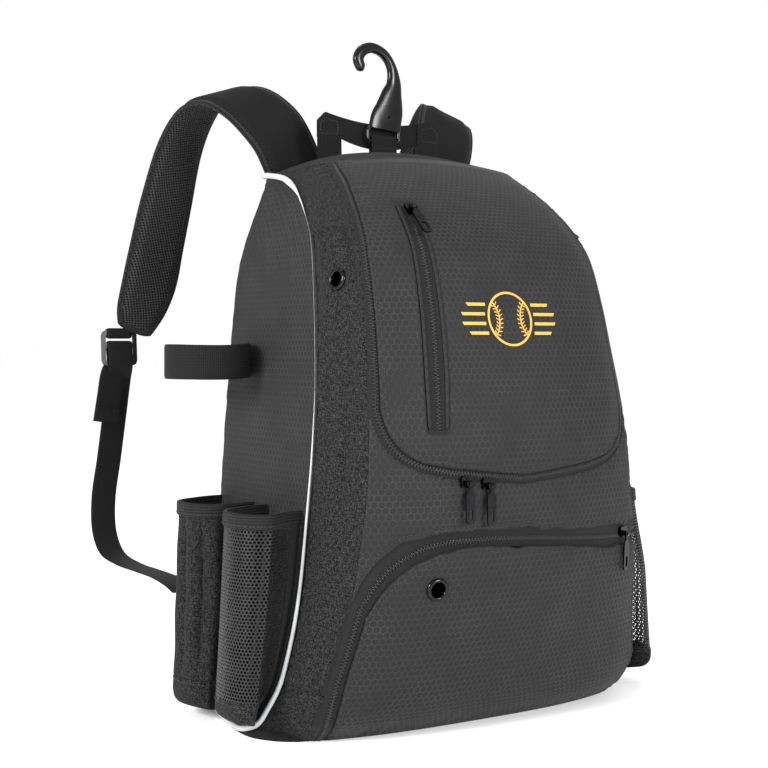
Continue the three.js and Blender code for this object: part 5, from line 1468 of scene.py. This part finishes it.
both_sides(lambda label, side: eyelet("eyelet_" + label, *[value * side for value in band_eyelet]))
spot = front_point(*pocket_eyelet, np.array([0, 1.0]))
eyelet("eyelet_pocket", front_point(*pocket_eyelet, pocket_lift), spot[1] - spot[0])
for name in ("flap_pocket", "flap_zip_a", "flap_zip_b", "lower_pocket"):
    for part in ("slider_", "pull_"):
        casting = bpy.data.objects[part + name]
        casting.data.materials.clear()
        casting.data.materials.append(plating)
        rounded = casting.modifiers.new("cast_edges", "BEVEL")
        rounded.width, rounded.segments = 0.35 * MM, 2

# The flap carries a generic mark in gold screen ink: a stitched ball between two sets of bars.
# The ink is a thin flexible film that follows the cloth.


def screen_ink():
    """Plastisol screen ink: warm gold, half matt, with the cloth's grain pressed faintly through it."""
    made, tree, _ = material("gold_plastisol_ink", "#dfae45", Roughness=0.5, Specular_IOR_Level=0.3)
    place = node(tree, "ShaderNodeTexCoord").outputs["Object"]
    worn = node(tree, "ShaderNodeTexNoise", {"Vector": place, "Scale": 160, "Detail": 4}).outputs["Fac"]
    colour = node(tree, "ShaderNodeMix", {"Factor": worn, 6: linear("#a87c2c"), 7: linear("#bd9443")},
                  data_type="RGBA").outputs[2]
    grain = node(tree, "ShaderNodeTexNoise", {"Vector": place, "Scale": 900, "Detail": 2}).outputs["Fac"]
    return surfaced(made, colour, grain, 0.3, 0.0002)


mark_x, mark_z, ball = 0, 346.5, 22


def stroke(line, width):
    """An even band along a flat line, as quads of (x, z)."""
    line = np.asarray(line, float)
    s = arc(line)
    even = np.linspace(0, s[-1], max(int(s[-1] / 0.9), 3))
    line = np.column_stack([np.interp(even, s, line[:, k]) for k in range(2)])
    ahead = np.gradient(line, axis=0)
    ahead /= np.linalg.norm(ahead, axis=1, keepdims=True)
    side = np.column_stack([-ahead[:, 1], ahead[:, 0]])
    across = np.linspace(-0.5, 0.5, max(int(width / 0.9), 2) + 1) * width
    return line[:, None] + side[:, None] * across[None, :, None]


def mark():
    a = np.linspace(0, 2 * math.pi, 160)
    parts = [stroke(np.column_stack([ball * np.cos(a), ball * np.sin(a)]), 1.9)]
    for side in (-1, 1):
        b = np.linspace(-0.78, 0.78, 60)
        seam = np.column_stack([side * (31 - 20 * np.cos(b)), 20.5 * np.sin(b)])
        parts.append(stroke(seam, 1.3))
        for k in range(4, 56, 6):
            here, ahead = seam[k], seam[k + 1] - seam[k - 1]
            ahead = ahead / np.linalg.norm(ahead)
            away = np.array([-side * abs(ahead[1]), side * ahead[0] * np.sign(ahead[1])])
            for lean in (-1, 1):
                parts.append(stroke([here + away * lean * 1.1, here + away * lean * 3.4 + ahead * 1.3], 0.9))
        for level, first, last in ((12, 24, 43), (4, 25.5, 49), (-4, 25.5, 49), (-12, 24, 43)):
            cut = np.linspace(0, 1, 30)[:, None]
            low = np.array([side * first, level - 1.3]) + cut * [side * (last - first - 1.6), 0]
            high = np.array([side * first, level + 1.3]) + cut * [side * (last - first), 0]
            parts.append(low[:, None] + (high - low)[:, None] * np.linspace(0, 1, 5)[None, :, None])
    mesh = flap.data
    tree = BVHTree.FromPolygons([v.co / MM for v in mesh.vertices], [p.vertices[:] for p in mesh.polygons])
    points, faces = [], []
    for part in parts:
        rows, cols = part.shape[:2]
        first = len(points)
        for layer in (0.22, -0.15):
            for x, z in part.reshape(-1, 2):
                hit, out, _, _ = tree.ray_cast((mark_x + x, -400, mark_z + z), (0, 1, 0))
                points.append(np.array(hit) + np.array(out) * layer)
        quads = panel_faces(rows, cols, False)
        corner = [np.array(points[first + k]) for k in quads[0]]
        if np.cross(corner[1] - corner[0], corner[2] - corner[1])[1] > 0:
            quads = [face[::-1] for face in quads]
        faces += [[first + k for k in face] for face in quads]
    return add_mesh("flap_mark", points, faces, screen_ink())


mark()
